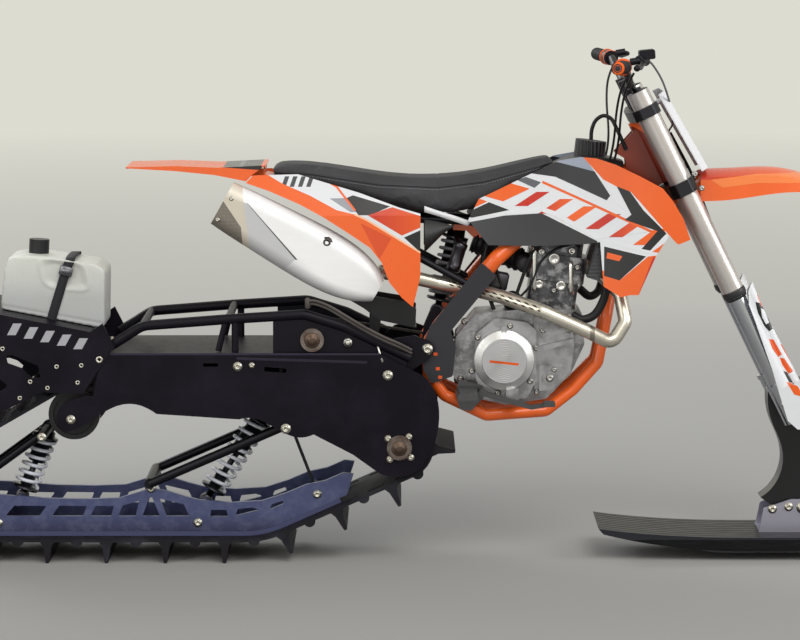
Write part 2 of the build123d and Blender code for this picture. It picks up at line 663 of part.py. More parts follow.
def make_engine_covers():
    """The right cover with its stepped clutch housing and pump castings, and the ignition cover on the left."""
    x, z = 171.0, 527.0
    base = plate([(98, 480), (120, 425), (230, 425), (254, 470), (254, 602), (230, 622), (150, 634), (96, 590)],
                 -112, -70, 14)
    pump = plate([(250, 432), (296, 436), (344, 492), (352, 560), (344, 636), (300, 650), (248, 640)], -94, -70, 12)
    housing = [(0, 20), (78, 20), (78, 58), (57, 72), (57, 76), (0, 76)]
    housing = revolve(make_face(Polyline(*[(r, 0, h) for r, h in housing], close=True)), axis=Axis.Z)
    clutch = base + pump + Plane(origin=(x, -74, z), x_dir=(1, 0, 0), z_dir=(0, -1, 0)) * housing
    for low, points in ((-136, [(163, 588), (178, 588), (178, 616), (163, 616)]),
                        (-140, [(176, 419), (208, 419), (208, 456), (176, 456)]),
                        (-106, [(262, 592), (300, 588), (346, 604), (340, 630), (300, 642), (262, 630)]),
                        (-122, [(256, 546), (346, 571), (348, 582), (256, 560)]),
                        (-108, [(262, 444), (300, 448), (322, 478), (322, 506), (262, 512)])):
        clutch = clutch + plate(points, low, -80, 3)
    clutch = clutch + disc(289, 479, 18, -116, -80)
    base = plate([(152, 480), (190, 440), (262, 440), (326, 500), (316, 590), (240, 618), (160, 600)], 70, 96, 16)
    return [clutch, base + disc(245, 530, 62, 96, 118)]


def make_header_pipe():
    """The exhaust header: out of the head, round the front and back along the right side."""
    points = [(372, -20, 762), (425, -52, 738), (470, -84, 690), (482, -118, 625), (446, -134, 570), (390, -138, 600),
              (268, -132, 654), (170, -84, 684), (90, -60, 702), (0, -60, 718), (-80, -74, 738), (-150, -98, 752)]
    return bent_rod(points, 18, 26) - make_cylinder() - make_muffler()


def make_muffler():
    """The silencer: a swelling oval can with a cut-off end cap."""
    slope = radians(29.3)
    back = Vector(-cos(slope), 0, sin(slope))
    start = Vector(-152, MUFFLER_Y, 706)
    sections = []
    for run, width, height in ((0, 56, 66), (60, 80, 124), (220, 84, 150), (370, 84, 134), (456, 78, 120)):
        sections.append((start + back * run, back, width, height, min(width, height) * 0.44))
    return skin(sections)


def make_seat():
    """The seat as a plain solid."""
    stations = [(-430, 1010, 130, 26), (-330, 1000, 176, 44), (-150, 962, 190, 70), (0, 944, 190, 92),
                (120, 962, 176, 86), (230, 1006, 150, 48), (306, 1036, 120, 14)]
    sections = []
    for x, z, width, height in stations:
        sections.append(((x, 0, z), (1, 0, 0), width, height, min(height * 0.42, 24)))
    return skin(sections)


def make_fuel_tank():
    """The tank between the seat and the steering head, saddled over the frame's backbone."""
    stations = [(150, 920, 955, 110), (240, 920, 988, 140), (330, 936, 1036, 150), (430, 972, 1042, 140),
                (478, 996, 1030, 90)]
    sections = []
    for x, low, high, width in stations:
        sections.append(((x, 0, (low + high) / 2), (1, 0, 0), width, high - low, (high - low) * 0.3))
    spine = rod(fork_point(128), (330, 0, 915), SPINE_R + RUN_FIT) + rod((330, 0, 915), (230, 0, 874), SPINE_R + RUN_FIT)
    return skin(sections) - make_seat() - spine


def make_tank_cap():
    """The screw cap on the tank's neck."""
    return rod((391, 0, 1032), (397, 0, 1082), 40) - make_fuel_tank()


def make_vent_hose():
    """The vent hose from the tank cap, looping forward and down beside the head's gusset."""
    points = [(397, 0, 1083), (397.5, 0, 1108), (407, -1, 1134), (428, -4, 1148), (449, -10, 1139), (461, -20, 1114),
              (471, -31.4, 1092), (485, -31.4, 1060)]
    return cord(points, 5)


def make_radiators():
    """The two coolers behind the shrouds, leaning with the downtube and tabbed to it."""
    lean = Vector(114, 0, 355).normalized()
    foot = Vector(397, -98, 735)
    core = extrude(Plane(origin=foot, x_dir=(0, 1, 0), z_dir=lean) * Rectangle(50, 32), amount=222, dir=lean)
    for rise, reach in ((70, 70), (195, 66)):
        point = foot + lean * rise
        core = core + rod((point.X, -80, point.Z), (point.X + reach, -6, point.Z), 6)
    downtube = rod(fork_point(92), (448, 0, 690), 19 + RUN_FIT)
    return pair(core - downtube)


def curved_panel(points, strips, thickness):
    """A shell panel: a side outline cut from a wall that follows a plan curve at each height."""
    faces = []
    for z, plan in strips:
        inner = [(x, -y, z) for x, y in plan]
        outer = [(x, -y - thickness, z) for x, y in reversed(plan)]
        faces.append(make_face(Curve() + [Spline(*inner), Line(inner[-1], outer[0]), Spline(*outer),
                                          Line(outer[-1], inner[0])]))
    wall = loft(faces, ruled=True)
    return wall & plate(points, -260, -60)


def make_shrouds():
    """The tank shroud on each side: an upper wing, a lower scoop and the knee panel, pegged to the radiator."""
    wing = [(78, 886), (105, 940), (226, 998), (307, 1036), (364, 1046), (405, 1043), (454, 1028), (512, 1001),
            (571, 970), (597, 938), (624, 893), (642, 840), (611, 827), (588, 850), (555, 797), (512, 698),
            (491, 698), (467, 692), (423, 719), (414, 832), (380, 826), (250, 820), (130, 822)]
    strips = [(680, [(40, 112), (200, 118), (400, 140), (480, 148), (560, 152), (660, 154)]),
              (900, [(40, 106), (200, 112), (400, 122), (480, 140), (560, 148), (660, 152)]),
              (1060, [(40, 96), (200, 98), (400, 100), (480, 130), (560, 144), (660, 150)])]
    peg = rod((430, -123 - RUN_FIT, 830), (430, -133, 830), 6)
    return pair(curved_panel(wing, strips, 4) + peg)


def make_side_panels():
    """The rear side panels below the seat, each with a peg to the rear frame."""
    points = [(-470, 1000), (-356, 1003), (-200, 957), (-96, 919), (-44, 904), (-44, 745), (-53, 706), (-63, 666),
              (-91, 690), (-123, 729), (-143, 781), (-172, 818), (-230, 857), (-291, 896), (-351, 928),
              (-429, 961), (-489, 981)]
    strips = [(640, [(-520, 150), (-300, 152), (-150, 148), (-20, 138)]),
              (900, [(-520, 136), (-300, 140), (-150, 136), (-20, 128)]),
              (1010, [(-520, 102), (-300, 106), (-150, 106), (-20, 104)])]
    peg = rod((-200, -SUB_Y - 10 - RUN_FIT, 900), (-200, -139, 900), 5)
    return pair(curved_panel(points, strips, 4) + peg)


def make_rear_fender():
    """The rear fender: a thin top with turned-down sides and a tongue under the seat."""
    top = [(-796, 1020), (-668, 1023), (-562, 1019), (-439, 1025)]
    sheet = [(x, z) for x, z in top] + [(x, z - 4) for x, z in reversed(top)]
    body = plate(sheet, -96, 96)
    flange = plate([(-796, 1020), (-668, 1023), (-562, 1019), (-439, 1025), (-470, 1003), (-489, 984),
                    (-569, 1000), (-668, 1010), (-790, 1017)], -100, -96)
    tongue = plate([(-446, 1021), (-446, 994), (-340, 974), (-340, 978), (-442, 998), (-442, 1021)], -60, 60)
    return body + flange + mirrored(flange) + tongue - make_seat()


def make_inner_guard():
    """The dark guard between the silencer and the kit, on legs from the tunnel's roof."""
    side = plate([(-255, 692), (-200, 690), (-70, 668), (-54, 650), (-56, 606), (-148, 624), (-187, 654)], -60, -56)
    floor = plate([(-255, 696), (-187, 656), (-148, 625), (-54, 605), (-54, 601), (-149, 621), (-189, 652), (-257, 692)],
                  -60, 60)
    leg = plate([(-175, 551 + RUN_FIT), (-155, 551 + RUN_FIT), (-145, 624), (-175, 640)], -50, -44)
    return side + mirrored(side) + floor + leg + mirrored(leg)


def make_strut():
    """The motorcycle's own rear damper, which the kit keeps, with its reservoir."""
    body = shock(DAMPER_FOOT, DAMPER_TOP, 0, 32, 7, DAMPER_PIN_R, DAMPER_PIN_R)
    reservoir = rod((40, -62, 752), (62, -62, 822), 18)
    bridge = rod((52, -62, 812), (47, 0, 832), 8)
    return body + reservoir + bridge


def make_frame_guards():
    """The plastic guards over the frame's side spars."""
    points = [(112, 778), (151, 744), (34, 601), (47, 562), (39, 484), (-16, 466), (-36, 500), (-40, 560), (-20, 612)]
    guard = plate(points, -FRAME_Y - SPAR_R - 5, -FRAME_Y - SPAR_R - RUN_FIT, 8)
    return pair(guard - disc(PIVOT_X, PIVOT_Z, PIVOT_BOLT_R + RUN_FIT, -150, -100))


def make_foot_controls():
    """The footpegs on their brackets, the brake pedal on the right and the gear lever on the left."""
    side = FRAME_Y + CRADLE_R + RUN_FIT
    bracket = plate([(46, 440), (58, 398), (86, 394), (118, 428), (116, 460), (56, 476)], -side - 8, -side, 5)
    bracket = bracket + rod((72, -side - 4, 408), (72, -FRAME_Y, 408), 8) - make_main_frame()
    peg = plate([(50, 440), (102, 440), (102, 458), (50, 458)], -250, -side - 8, 5)
    arm = plate([(106, 450), (118, 438), (240, 404), (296, 414), (296, 424), (240, 416), (122, 452), (112, 460)],
                -164, -154)
    boss = rod((112, -164, 447), (112, -side - 8, 447), 8)
    pad = plate([(270, 414), (300, 414), (300, 426), (270, 426)], -184, -154, 3)
    lever = plate([(112, 508), (122, 496), (232, 474), (236, 486), (126, 510), (118, 518)], 126, 134)
    lever = lever + rod((160, 70, 470), (120, 126, 506), 7) + rod((228, 126, 480), (228, 168, 480), 8)
    pegs = [bracket + peg, mirrored(bracket + peg)]
    pegs[0] = pegs[0] + arm + boss + pad
    return pegs + [lever - make_engine_case() - make_engine_covers()[1]]


def make_chain():
    """The drive chain from the gearbox to the kit's upper shaft."""
    front, rear = (COUNTERSHAFT_X, COUNTERSHAFT_Z, SPROCKET_R), (JACKSHAFT_X, JACKSHAFT_Z, SPROCKET_R)
    line = atan2(rear[1] - front[1], rear[0] - front[0])
    side = line + pi / 2
    ring = []
    for reach in (SPROCKET_R + 7, SPROCKET_R + RUN_FIT):
        ends = []
        for x, z, _ in (front, rear):
            ends.append([(x + reach * cos(a), CHAIN_Y, z + reach * sin(a)) for a in (side, line, side + pi, line + pi)])
        (a1, _, b1, near), (a2, far, b2, _) = ends
        ring.append(make_face(Curve() + [Line(a1, a2), ThreePointArc(a2, far, b2), Line(b2, b1),
                                         ThreePointArc(b1, near, a1)]))
    return across(ring[0] - ring[1], 9)


def make_kit_mount():
    """The bracket that hangs the kit from the swingarm pivot and carries the damper's foot."""
    points = [(-150, 551 + RUN_FIT), (-62, 504 + RUN_FIT), (-20, 533), (-6, 556), (-20, 577), (-60, 592), (-110, 584)]
    side = plate(points, -136, -127)
    body = side + mirrored(side)
    inner = FRAME_Y - SPAR_R - 2
    body = body + rod((PIVOT_X, -inner, PIVOT_Z), (PIVOT_X, inner, PIVOT_Z), 10)
    body = body + rod((PIVOT_X, -136, PIVOT_Z), (PIVOT_X, 136, PIVOT_Z), PIVOT_BOLT_R)
    x, z = DAMPER_FOOT
    ear = plate([(-40, 550), (-12, 550), (x + 14, z - 4), (x + 4, z + 14), (x - 12, z + 12), (-34, 600)], -24, -17)
    body = body + ear + mirrored(ear)
    return body + rod((x, -24, z), (x, 24, z), DAMPER_PIN_R)


# ---------------------------------------------------------------- steering
def make_triple_clamps():
    """Upper and lower fork clamps on the steering stem, with the bar's risers."""
    half = FORK_SPREAD / 2
    r = OUTER_TUBE_R
    shape = [(-26, -30), (15 - r, -half - 14), (22 - 0.62 * r, -half - r - 5), (22 + 0.62 * r, -half - r - 5),
             (27 + r, -half - 10), (9 + r, -40), (9 + r, 40), (27 + r, half + 10), (22 + 0.62 * r, half + r + 5),
             (22 - 0.62 * r, half + r + 5), (15 - r, half + 14), (-26, 30)]
    body = along_fork(UPPER_CLAMP_DOWN, LOWER_CLAMP_DOWN, STEM_R)
    body = body + fork_block(UPPER_CLAMP_DOWN - 12, 28, shape, 8) + fork_block(LOWER_CLAMP_DOWN - 18, 36, shape, 8)
    for side in SIDES:
        body = body - along_fork(FORK_TOP - 10, OUTER_TUBE_END, OUTER_TUBE_R + RUN_FIT / 2, FORK_OFFSET, side * half)
    for side in SIDES:
        riser = [(-10, side * 45 - 16), (26, side * 45 - 16), (26, side * 45 + 16), (-10, side * 45 + 16)]
        body = body + fork_block(UPPER_CLAMP_DOWN - 92, 82, riser, 6)
    bar = rod((BAR_CLAMP.X + 2, -120, BAR_CLAMP.Z), (BAR_CLAMP.X + 2, 120, BAR_CLAMP.Z), BAR_R - 3 + RUN_FIT)
    return body - bar


def fork_legs(low, high, radius):
    return [along_fork(low, high, radius, FORK_OFFSET, side * FORK_SPREAD / 2) for side in SIDES]


def make_fork_uppers():
    """The polished upper tubes of the fork with their dark wiper rings."""
    return fork_legs(FORK_TOP, OUTER_TUBE_END, OUTER_TUBE_R)


def make_fork_lowers():
    """The sliding tubes with the axle lugs at their feet."""
    pieces = []
    for leg, side in zip(fork_legs(OUTER_TUBE_END + RUN_FIT, AXLE_DOWN - 60, INNER_TUBE_R), SIDES):
        y = side * FORK_SPREAD / 2
        lug = along_fork(LUG_TOP, AXLE_DOWN - 10, LUG_R, FORK_OFFSET, y)
        lug = lug + along_fork(LUG_TOP, LUG_TOP + 12, GUARD_R - RUN_FIT, FORK_OFFSET, y)
        boss = disc(AXLE.X, AXLE.Z, 27, y - 24, y + 24)
        web = along_fork(AXLE_DOWN - 70, AXLE_DOWN - 2, 24, FORK_OFFSET + AXLE_LEAD * 0.6, y)
        lug = lug + boss + web - disc(AXLE.X, AXLE.Z, AXLE_R + RUN_FIT, -400, 400)
        pieces.append(leg + lug)
    return pieces


def make_fork_guards():
    """The guards round the front and outer side of the sliding tubes, seated on the lugs' rings."""
    y = -FORK_SPREAD / 2
    inner, outer = GUARD_R, GUARD_R + GUARD_SKIN
    plane = Plane(origin=fork_point(GUARD_TOP, FORK_OFFSET, y), x_dir=FORWARD, z_dir=DOWN)
    low, high = radians(8), radians(118)
    wrap = make_face(Curve() + [
        ThreePointArc(*[(outer * cos(a), outer * sin(a)) for a in (low, (low + high) / 2, high)]),
        Line((outer * cos(high), outer * sin(high)), (inner * cos(high), inner * sin(high))),
        ThreePointArc(*[(inner * cos(a), inner * sin(a)) for a in (high, (low + high) / 2, low)]),
        Line((inner * cos(low), inner * sin(low)), (outer * cos(low), outer * sin(low)))])
    prow_outer = [(33.6, 10.5), (45.5, 8), (54.5, -2.5), (47.5, -14.5), (32.5, -23)]
    prow_inner = [(31, -20.2), (45.8, -11.9), (51.3, -2), (44, 5), (32.6, 7.5)]
    prow = make_face(Curve() + [Spline(*prow_outer), Line(prow_outer[-1], prow_inner[0]), Spline(*prow_inner),
                                Line(prow_inner[-1], prow_outer[0])])
    length = AXLE_DOWN - 76 - GUARD_TOP
    shell = extrude(plane * wrap, amount=length, dir=DOWN) + extrude(plane * prow, amount=length, dir=DOWN)
    leaf = [(AXLE_DOWN - 106, 14), (AXLE_DOWN - 106, 78), (AXLE_DOWN + 30, 84), (AXLE_DOWN + 30, -4), (AXLE_DOWN - 60, -4)]
    shell = shell + plate([(fork_point(*p).X, fork_point(*p).Z) for p in leaf], y - outer, y - inner)
    side = [(GUARD_TOP, 79), (GUARD_TOP + 21, 74.5), (538, 72), (600, 72), (651, 74), (720, 77), (777, 80), (830, 78),
            (862, 66), (884, 36), (873, 15), (842, 2.5), (778, 11.5), (709, 22.4), (640, 30), (573, 37.6), (527, 41.8),
            (498, 56)]
    shell = shell & plate([(fork_point(*p).X, fork_point(*p).Z) for p in side], -220, -50)
    return pair(shell)


def make_handlebar():
    """The tapered bar: clamp stretch, rises and swept-back ends, bored at each end for a bar-end plug."""
    x, z = BAR_CLAMP.X, BAR_CLAMP.Z
    points = [BAR_END, BAR_BEND, (x + 2, -BAR_RISE_Y, z + 4), (x + 2, -70, z)]
    points += [(x, -y, z) for x, y, z in reversed(points)]
    bar = bent_rod(points, BAR_R - 3, 45)
    for side in SIDES:
        end, bend = Vector(BAR_END[0], -side * BAR_END[1], BAR_END[2]), Vector(BAR_BEND[0], -side * BAR_BEND[1], BAR_BEND[2])
        bar = bar - rod(end, end + (bend - end).normalized() * 40, 8)
    return bar


def make_grips():
    pieces = []
    for side in SIDES:
        end = Vector(BAR_END[0], -side * BAR_END[1], BAR_END[2])
        inner = Vector(BAR_BEND[0], -side * BAR_BEND[1], BAR_BEND[2])
        plane = Plane(origin=end, z_dir=inner - end)
        grip = Solid.make_cylinder(GRIP_R, GRIP_LENGTH, plane) - Solid.make_cylinder(BAR_R - 3 + RUN_FIT, GRIP_LENGTH, plane)
        pieces.append(grip)
    return pieces


def make_controls():
    """The perches beside the grips with their ball-ended levers, and the brake's cylinder and reservoir."""
    x, z = BAR_CLAMP.X, BAR_CLAMP.Z
    near = BAR_BEND_Y
    pieces = []
    for side in SIDES:
        perch = rod((x - 22, side * (near + 8), z + 58), (x - 25, side * (near + 32), z + 59), 19)
        perch = perch - make_handlebar()
        perch = perch + rod((x - 8, side * (near + 20), z + 70), (x + 16, side * (near + 20), z + 74), 9)
        lever = bent_rod([(x + 8, side * (near + 16), z + 73), (x + 24, side * (near + 32), z + 69),
                          (x + 12, side * (near + 100), z + 60), (x - 2, side * (near + 166), z + 62)], 6, 12)
        ball = Solid.make_sphere(8.5, Plane(origin=(x - 2, side * (near + 166), z + 62)))
        pieces.append(perch + lever + ball)
    pump = rod((x + 14, -near - 24, z + 75), (x + 34, -near + 22, z + 70), 12)
    reservoir = plate([(x + 16, z + 74), (x + 56, z + 78), (x + 54, z + 102), (x + 14, z + 98)], -near - 14, -near + 26, 5)
    pieces[0] = pieces[0] + pump + reservoir
    return pieces


def make_number_plate():
    """The blank number plate ahead of the bar, with swept-back sides, on a stalk from the upper clamp."""
    foot, top = Vector(692, 0, 1018), Vector(578, 0, 1214)
    plane = Plane(origin=foot, x_dir=(0, 1, 0), z_dir=top - foot)
    section = [(-92, 16), (-74, 0), (74, 0), (92, 16), (92, 19.5), (73, 3), (-73, 3), (-92, 19.5)]
    sheet = extrude(plane * make_face(Polyline(*section, close=True)), amount=(top - foot).length)
    return sheet + rod(fork_point(-30, OUTER_TUBE_R + 9 + RUN_FIT), fork_point(-30, 86.5), 7)


def make_front_fender():
    """The front fender: a crowned blade with deep turned-down sides, on a mount under the lower fork clamp."""
    rows = [(674, 1005, 156, 74), (740, 1010, 166, 76), (826, 1014, 172, 68), (893, 1010, 170, 56),
            (944, 998, 164, 44), (1040, 972, 150, 32), (1165, 930, 112, 16)]
    sections = []
    for x, z, width, depth in rows:
        plane = Plane(origin=(x, 0, z), x_dir=(0, 1, 0), z_dir=(1, 0, 0))
        half, sill = width / 2, min(16.0, depth * 0.5)
        arch = make_face(Curve() + [
            Line((-half, -depth), (-half + 7, -sill)), ThreePointArc((-half + 7, -sill), (0, 0), (half - 7, -sill)),
            Line((half - 7, -sill), (half, -depth)), Line((half, -depth), (half - 4, -depth)),
            Line((half - 4, -depth), (half - 11, -sill - 3)),
            ThreePointArc((half - 11, -sill - 3), (0, -4), (-half + 11, -sill - 3)),
            Line((-half + 11, -sill - 3), (-half + 4, -depth)), Line((-half + 4, -depth), (-half, -depth)),
        ])
        sections.append(plane * arch)
    seat = LOWER_CLAMP_DOWN + 18 + RUN_FIT
    points = [fork_point(seat, -14), fork_point(seat, 56), Vector(694, 0, 1003.5), Vector(722, 0, 1005),
              Vector(706, 0, 960), Vector(676, 0, 946), Vector(612, 0, 920)]
    mount = plate([(p.X, p.Z) for p in points], -30, 30)
    return loft(sections) + mount


def make_brake_hose():
    """The front hose, clipped along the left fork leg down to the lug."""
    side = FORK_SPREAD / 2
    lie = FORK_OFFSET + OUTER_TUBE_R + HOSE_R + RUN_FIT
    rest = FORK_OFFSET + INNER_TUBE_R + HOSE_R + RUN_FIT
    points = [fork_point(64, lie + 6, side - 20), fork_point(120, lie + 8.5, side - 14), fork_point(176, lie + 11, side - 9.5),
              fork_point(234, lie + 9, side - 5), fork_point(292, lie + 3, side - 1.5), fork_point(350, lie + 0.5, side - 0.5),
              fork_point(408, lie + 1.5, side), fork_point(458, lie, side), fork_point(516, lie, side),
              fork_point(600, rest + 0.5, side), fork_point(LUG_TOP - RUN_FIT, rest, side)]
    return cord(points, HOSE_R)


def make_spindle():
    """The waisted casting between the fork axle and the ski."""
    x = AXLE.X
    runs = [
        [(x - 86, 461), (x - 93, 421), (x - 81, 351), (x - 61, 305), (x - 51, 258), (x - 65, 198), (x - 108, 152)],
        [(x - 108, 152), (x - 60, 118)],
        [(x - 60, 118), (x, 98), (x + 60, 118)],
        [(x + 60, 118), (x + 108, 152)],
        [(x + 108, 152), (x + 65, 198), (x + 51, 258), (x + 61, 305), (x + 81, 351), (x + 93, 421), (x + 86, 461)],
        [(x + 86, 461), (x - 86, 461)],
    ]
    core = across(outline(-34, *runs), 68)
    core = core - disc(SKI_PIVOT_X, SKI_PIVOT_Z, SKI_BOLT_R + SHAFT_FIT, -60, 60)
    return core + disc(AXLE.X, AXLE.Z, AXLE_R, -136, 136)


# ---------------------------------------------------------------- ski
def make_ski():
    """The ski's moulded blade with its upturned tip and its loop."""
    top = [(417, 85), (560, 70), (760, SKI_TOP), (952, SKI_TOP), (1120, SKI_TOP), (1240, 74), (1325, 104), (SKI_TIP_X, 154)]
    low = [(SKI_TIP_X - 5, 140), (1332, 80), (1250, 44), (1140, 26), (952, 26), (760, 26), (560, 44), (430, 70)]
    runs = [top, [top[-1], low[0]], low, [low[-1], top[0]]]
    blade = across(outline(-SKI_WIDTH / 2, *runs), SKI_WIDTH)
    front = -REAR_X - 8
    loop = bent_rod([(SKI_TIP_X - 20, -70, 127), (front, -70, 192), (front, 70, 192), (SKI_TIP_X - 20, 70, 127)], 8, 22)
    return blade + loop


def make_keel():
    """The keel with its wear bar, under the ski."""
    points = [(640, 28), (700, 5), (735, 0), (1120, 0), (1170, 30)]
    return plate(points, -12, 12) - make_ski()


def make_saddle():
    """The saddle bolted on the ski, which holds the pivot bolt."""
    x, foot = SKI_PIVOT_X, SKI_TOP + RUN_FIT
    side = plate([(x - 112, foot), (x + 112, foot), (x + 100, 126), (x + 30, 150), (x - 30, 150), (x - 100, 126)], -50, -42, 6)
    body = side + mirrored(side)
    body = body + plate([(x - 112, foot), (x + 112, foot), (x + 112, foot + 7), (x - 112, foot + 7)], -50, 50)
    return body + disc(x, SKI_PIVOT_Z, SKI_BOLT_R, -50, 50)


NODES = {
    "main_frame": make_main_frame, "subframe": make_subframe, "engine_case": make_engine_case,
    "cylinder_and_head": make_cylinder, "engine_covers": make_engine_covers,
    "header_pipe": make_header_pipe, "muffler": make_muffler, "seat": make_seat, "fuel_tank": make_fuel_tank,
    "tank_cap": make_tank_cap, "vent_hose": make_vent_hose, "radiators": make_radiators,
    "shrouds": make_shrouds, "side_panels": make_side_panels, "rear_fender": make_rear_fender,
    "inner_guard": make_inner_guard, "rear_damper": make_strut, "frame_guards": make_frame_guards,
    "foot_controls": make_foot_controls, "drive_chain": make_chain, "kit_mount": make_kit_mount,
    "tunnel_sides": make_side_plates, "tunnel_top": make_tunnel_top, "kit_frame": make_kit_frame,
    "bearing_caps": make_bearing_caps, "drive_shafts": make_drive_shafts, "track": make_track,
    "skid_rails": make_rails, "slides": make_slides, "track_wheels": make_track_wheels,
    "suspension_arms": make_suspension_arms, "track_shocks": make_track_shocks,
    "limiter_strap": make_limiter_strap, "rear_rack": make_rear_rack, "fuel_can": make_jug,
    "fuel_can_cap": make_jug_cap, "fuel_can_strap": make_jug_strap, "triple_clamps": make_triple_clamps,
    "fork_uppers": make_fork_uppers, "fork_lowers": make_fork_lowers, "fork_guards": make_fork_guards,
    "handlebar": make_handlebar, "grips": make_grips, "hand_controls": make_controls,
    "number_plate": make_number_plate, "front_fender": make_front_fender, "brake_hose": make_brake_hose,
    "spindle": make_spindle, "ski": make_ski, "ski_keel": make_keel, "ski_saddle": make_saddle,
}


def main():
    os.makedirs("parts", exist_ok=True)
    for name, make in NODES.items():
        shape = make()
        solids = shape if isinstance(shape, list) else [shape]
        solids = [solid for piece in solids for solid in piece.solids()]
        export_step(Compound(solids) if len(solids) > 1 else solids[0], f"parts/{name}.step")


main()
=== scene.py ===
"""Looks of a snow bike: an off-road motorcycle on a tracked rear kit, steered by a front ski.

Every length is in metres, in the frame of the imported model: +X forward, +Y to the rider's
left, +Z up, with the origin on the ground.
"""

from math import atan2, cos, pi, radians, sin

import bmesh
import bpy
import numpy as np
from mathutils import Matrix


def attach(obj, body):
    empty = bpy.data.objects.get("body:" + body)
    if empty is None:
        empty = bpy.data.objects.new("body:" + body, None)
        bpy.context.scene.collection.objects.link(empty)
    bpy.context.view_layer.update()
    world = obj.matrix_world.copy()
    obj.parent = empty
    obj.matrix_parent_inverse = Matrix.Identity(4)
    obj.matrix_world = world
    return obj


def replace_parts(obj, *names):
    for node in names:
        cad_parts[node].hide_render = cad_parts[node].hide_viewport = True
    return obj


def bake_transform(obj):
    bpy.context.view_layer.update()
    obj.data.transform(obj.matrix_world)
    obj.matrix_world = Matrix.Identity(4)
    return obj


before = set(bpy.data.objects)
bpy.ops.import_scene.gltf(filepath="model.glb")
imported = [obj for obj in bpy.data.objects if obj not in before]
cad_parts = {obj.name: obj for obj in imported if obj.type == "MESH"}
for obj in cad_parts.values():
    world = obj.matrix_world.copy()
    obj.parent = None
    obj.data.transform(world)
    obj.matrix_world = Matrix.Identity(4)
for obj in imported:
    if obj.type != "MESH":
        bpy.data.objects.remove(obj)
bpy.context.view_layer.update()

bl_info = {
    "name": "Snow Bike Looks",
    "version": (1, 0, 0),
    "blender": (4, 5, 0),
    "location": "View3D > Sidebar > Snow Bike",
    "description": "Finishes and detail pieces of a tracked snow bike with a front ski",
    "category": "Object",
}

# ---------------------------------------------------------------- places on the model
# The fork: directions down the steering axis and square ahead of it, the middle of the head tube,
# and how far the legs stand ahead of the axis and to each side.
RAKE = radians(26.2)
DOWN = np.array([sin(RAKE), 0, -cos(RAKE)])
AHEAD = np.array([cos(RAKE), 0, sin(RAKE)])
HEAD = np.array([0.525, 0, 1.126])
LEG_OFFSET, LEG_SIDE = 0.022, 0.105

# The drive, in X and Z: the gearbox sprocket, the jackshaft and the track's driver shaft.
SPROCKET = np.array([0.095, 0.520])
JACKSHAFT = np.array([-0.320, 0.584])
DRIVER = np.array([-0.0975, 0.307])

# The ends of the left grip, from the bar's end inwards; the right one is its mirror.
GRIP_END = np.array([0.4354, 0.405, 1.2866])
GRIP_INNER = np.array([0.4654, 0.230, 1.2826])
MIRROR = np.array([1.0, -1.0, 1.0])


def on_fork(down, ahead=0.0, side=0.0):
    """A point down the fork from the head tube's middle, ahead of the steering axis and to a side."""
    return HEAD + DOWN * down + AHEAD * ahead + np.array([0, side, 0])


# ---------------------------------------------------------------- meshes from arrays
def put(name, points, faces, body, slot, finish, smooth=True):
    """A mesh piece from an array of points and a list of faces, riding on a body if one is given."""
    mesh = bpy.data.meshes.new(name)
    mesh.from_pydata(np.asarray(points, float).reshape(-1, 3).tolist(), [], faces)
    mesh.validate()
    mesh.update()
    if smooth:
        mesh.shade_smooth()
    piece = bpy.data.objects.new(name, mesh)
    bpy.context.scene.collection.objects.link(piece)
    mesh.materials.append(finish)
    if body:
        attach(piece, body)
    return piece


def quads(rows, columns, around=False):
    """Faces of a rows by columns grid; around joins the last column to the first."""
    r = np.arange(rows - 1)
    c = np.arange(columns if around else columns - 1)
    r, c = [a.ravel() for a in np.meshgrid(r, c, indexing="ij")]
    c2 = (c + 1) % columns
    return np.stack([r * columns + c, r * columns + c2, (r + 1) * columns + c2, (r + 1) * columns + c], 1).tolist()


def capped(rows, sides):
    """Faces of a closed body made of rows of points, with a flat face at each end."""
    last = (rows - 1) * sides
    return quads(rows, sides, around=True) + [list(range(sides))[::-1], [last + k for k in range(sides)]]


def many(points, faces, copies):
    """One mesh of many like shapes: each copy is an origin and three axes that carry the points."""
    points = np.asarray(points, float)
    origins = np.array([c[0] for c in copies], float)
    axes = np.array([c[1] for c in copies], float)
    placed = origins[:, None, :] + np.einsum("nk,ckj->cnj", points, axes)
    count = len(points)
    return placed.reshape(-1, 3), [[v + i * count for v in face] for i in range(len(copies)) for face in faces]


def turned(profile, sides=24):
    """A profile of (radius, height) turned about the third axis, with a flat face at each end."""
    profile = np.asarray(profile, float)
    angle = np.arange(sides) * 2 * pi / sides
    radius, height = profile[:, 0, None], profile[:, 1, None]
    points = np.stack([radius * np.cos(angle), radius * np.sin(angle), height + 0 * angle], -1).reshape(-1, 3)
    return points, capped(len(profile), sides)


def facing(normal, hint=(0, 0, 1)):
    """Three axes whose third is the normal."""
    w = np.asarray(normal, float)
    w = w / np.linalg.norm(w)
    u = np.cross(hint, w)
    if np.linalg.norm(u) < 1e-6:
        u = np.cross((1, 0, 0), w)
    u = u / np.linalg.norm(u)
    return np.array([u, np.cross(w, u), w])


def curve_through(points, count):
    """Points along a Catmull-Rom curve through the given points."""
    p = np.asarray(points, float)
    p = np.vstack([2 * p[0] - p[1], p, 2 * p[-1] - p[-2]])
    t = np.linspace(0, len(p) - 3 - 1e-9, count)
    i = t.astype(int)
    f = (t - i)[:, None]
    a, b, c, d = p[i], p[i + 1], p[i + 2], p[i + 3]
    return 0.5 * (2 * b + (c - a) * f + (2 * a - 5 * b + 4 * c - d) * f ** 2 + (3 * b - a - 3 * c + d) * f ** 3)


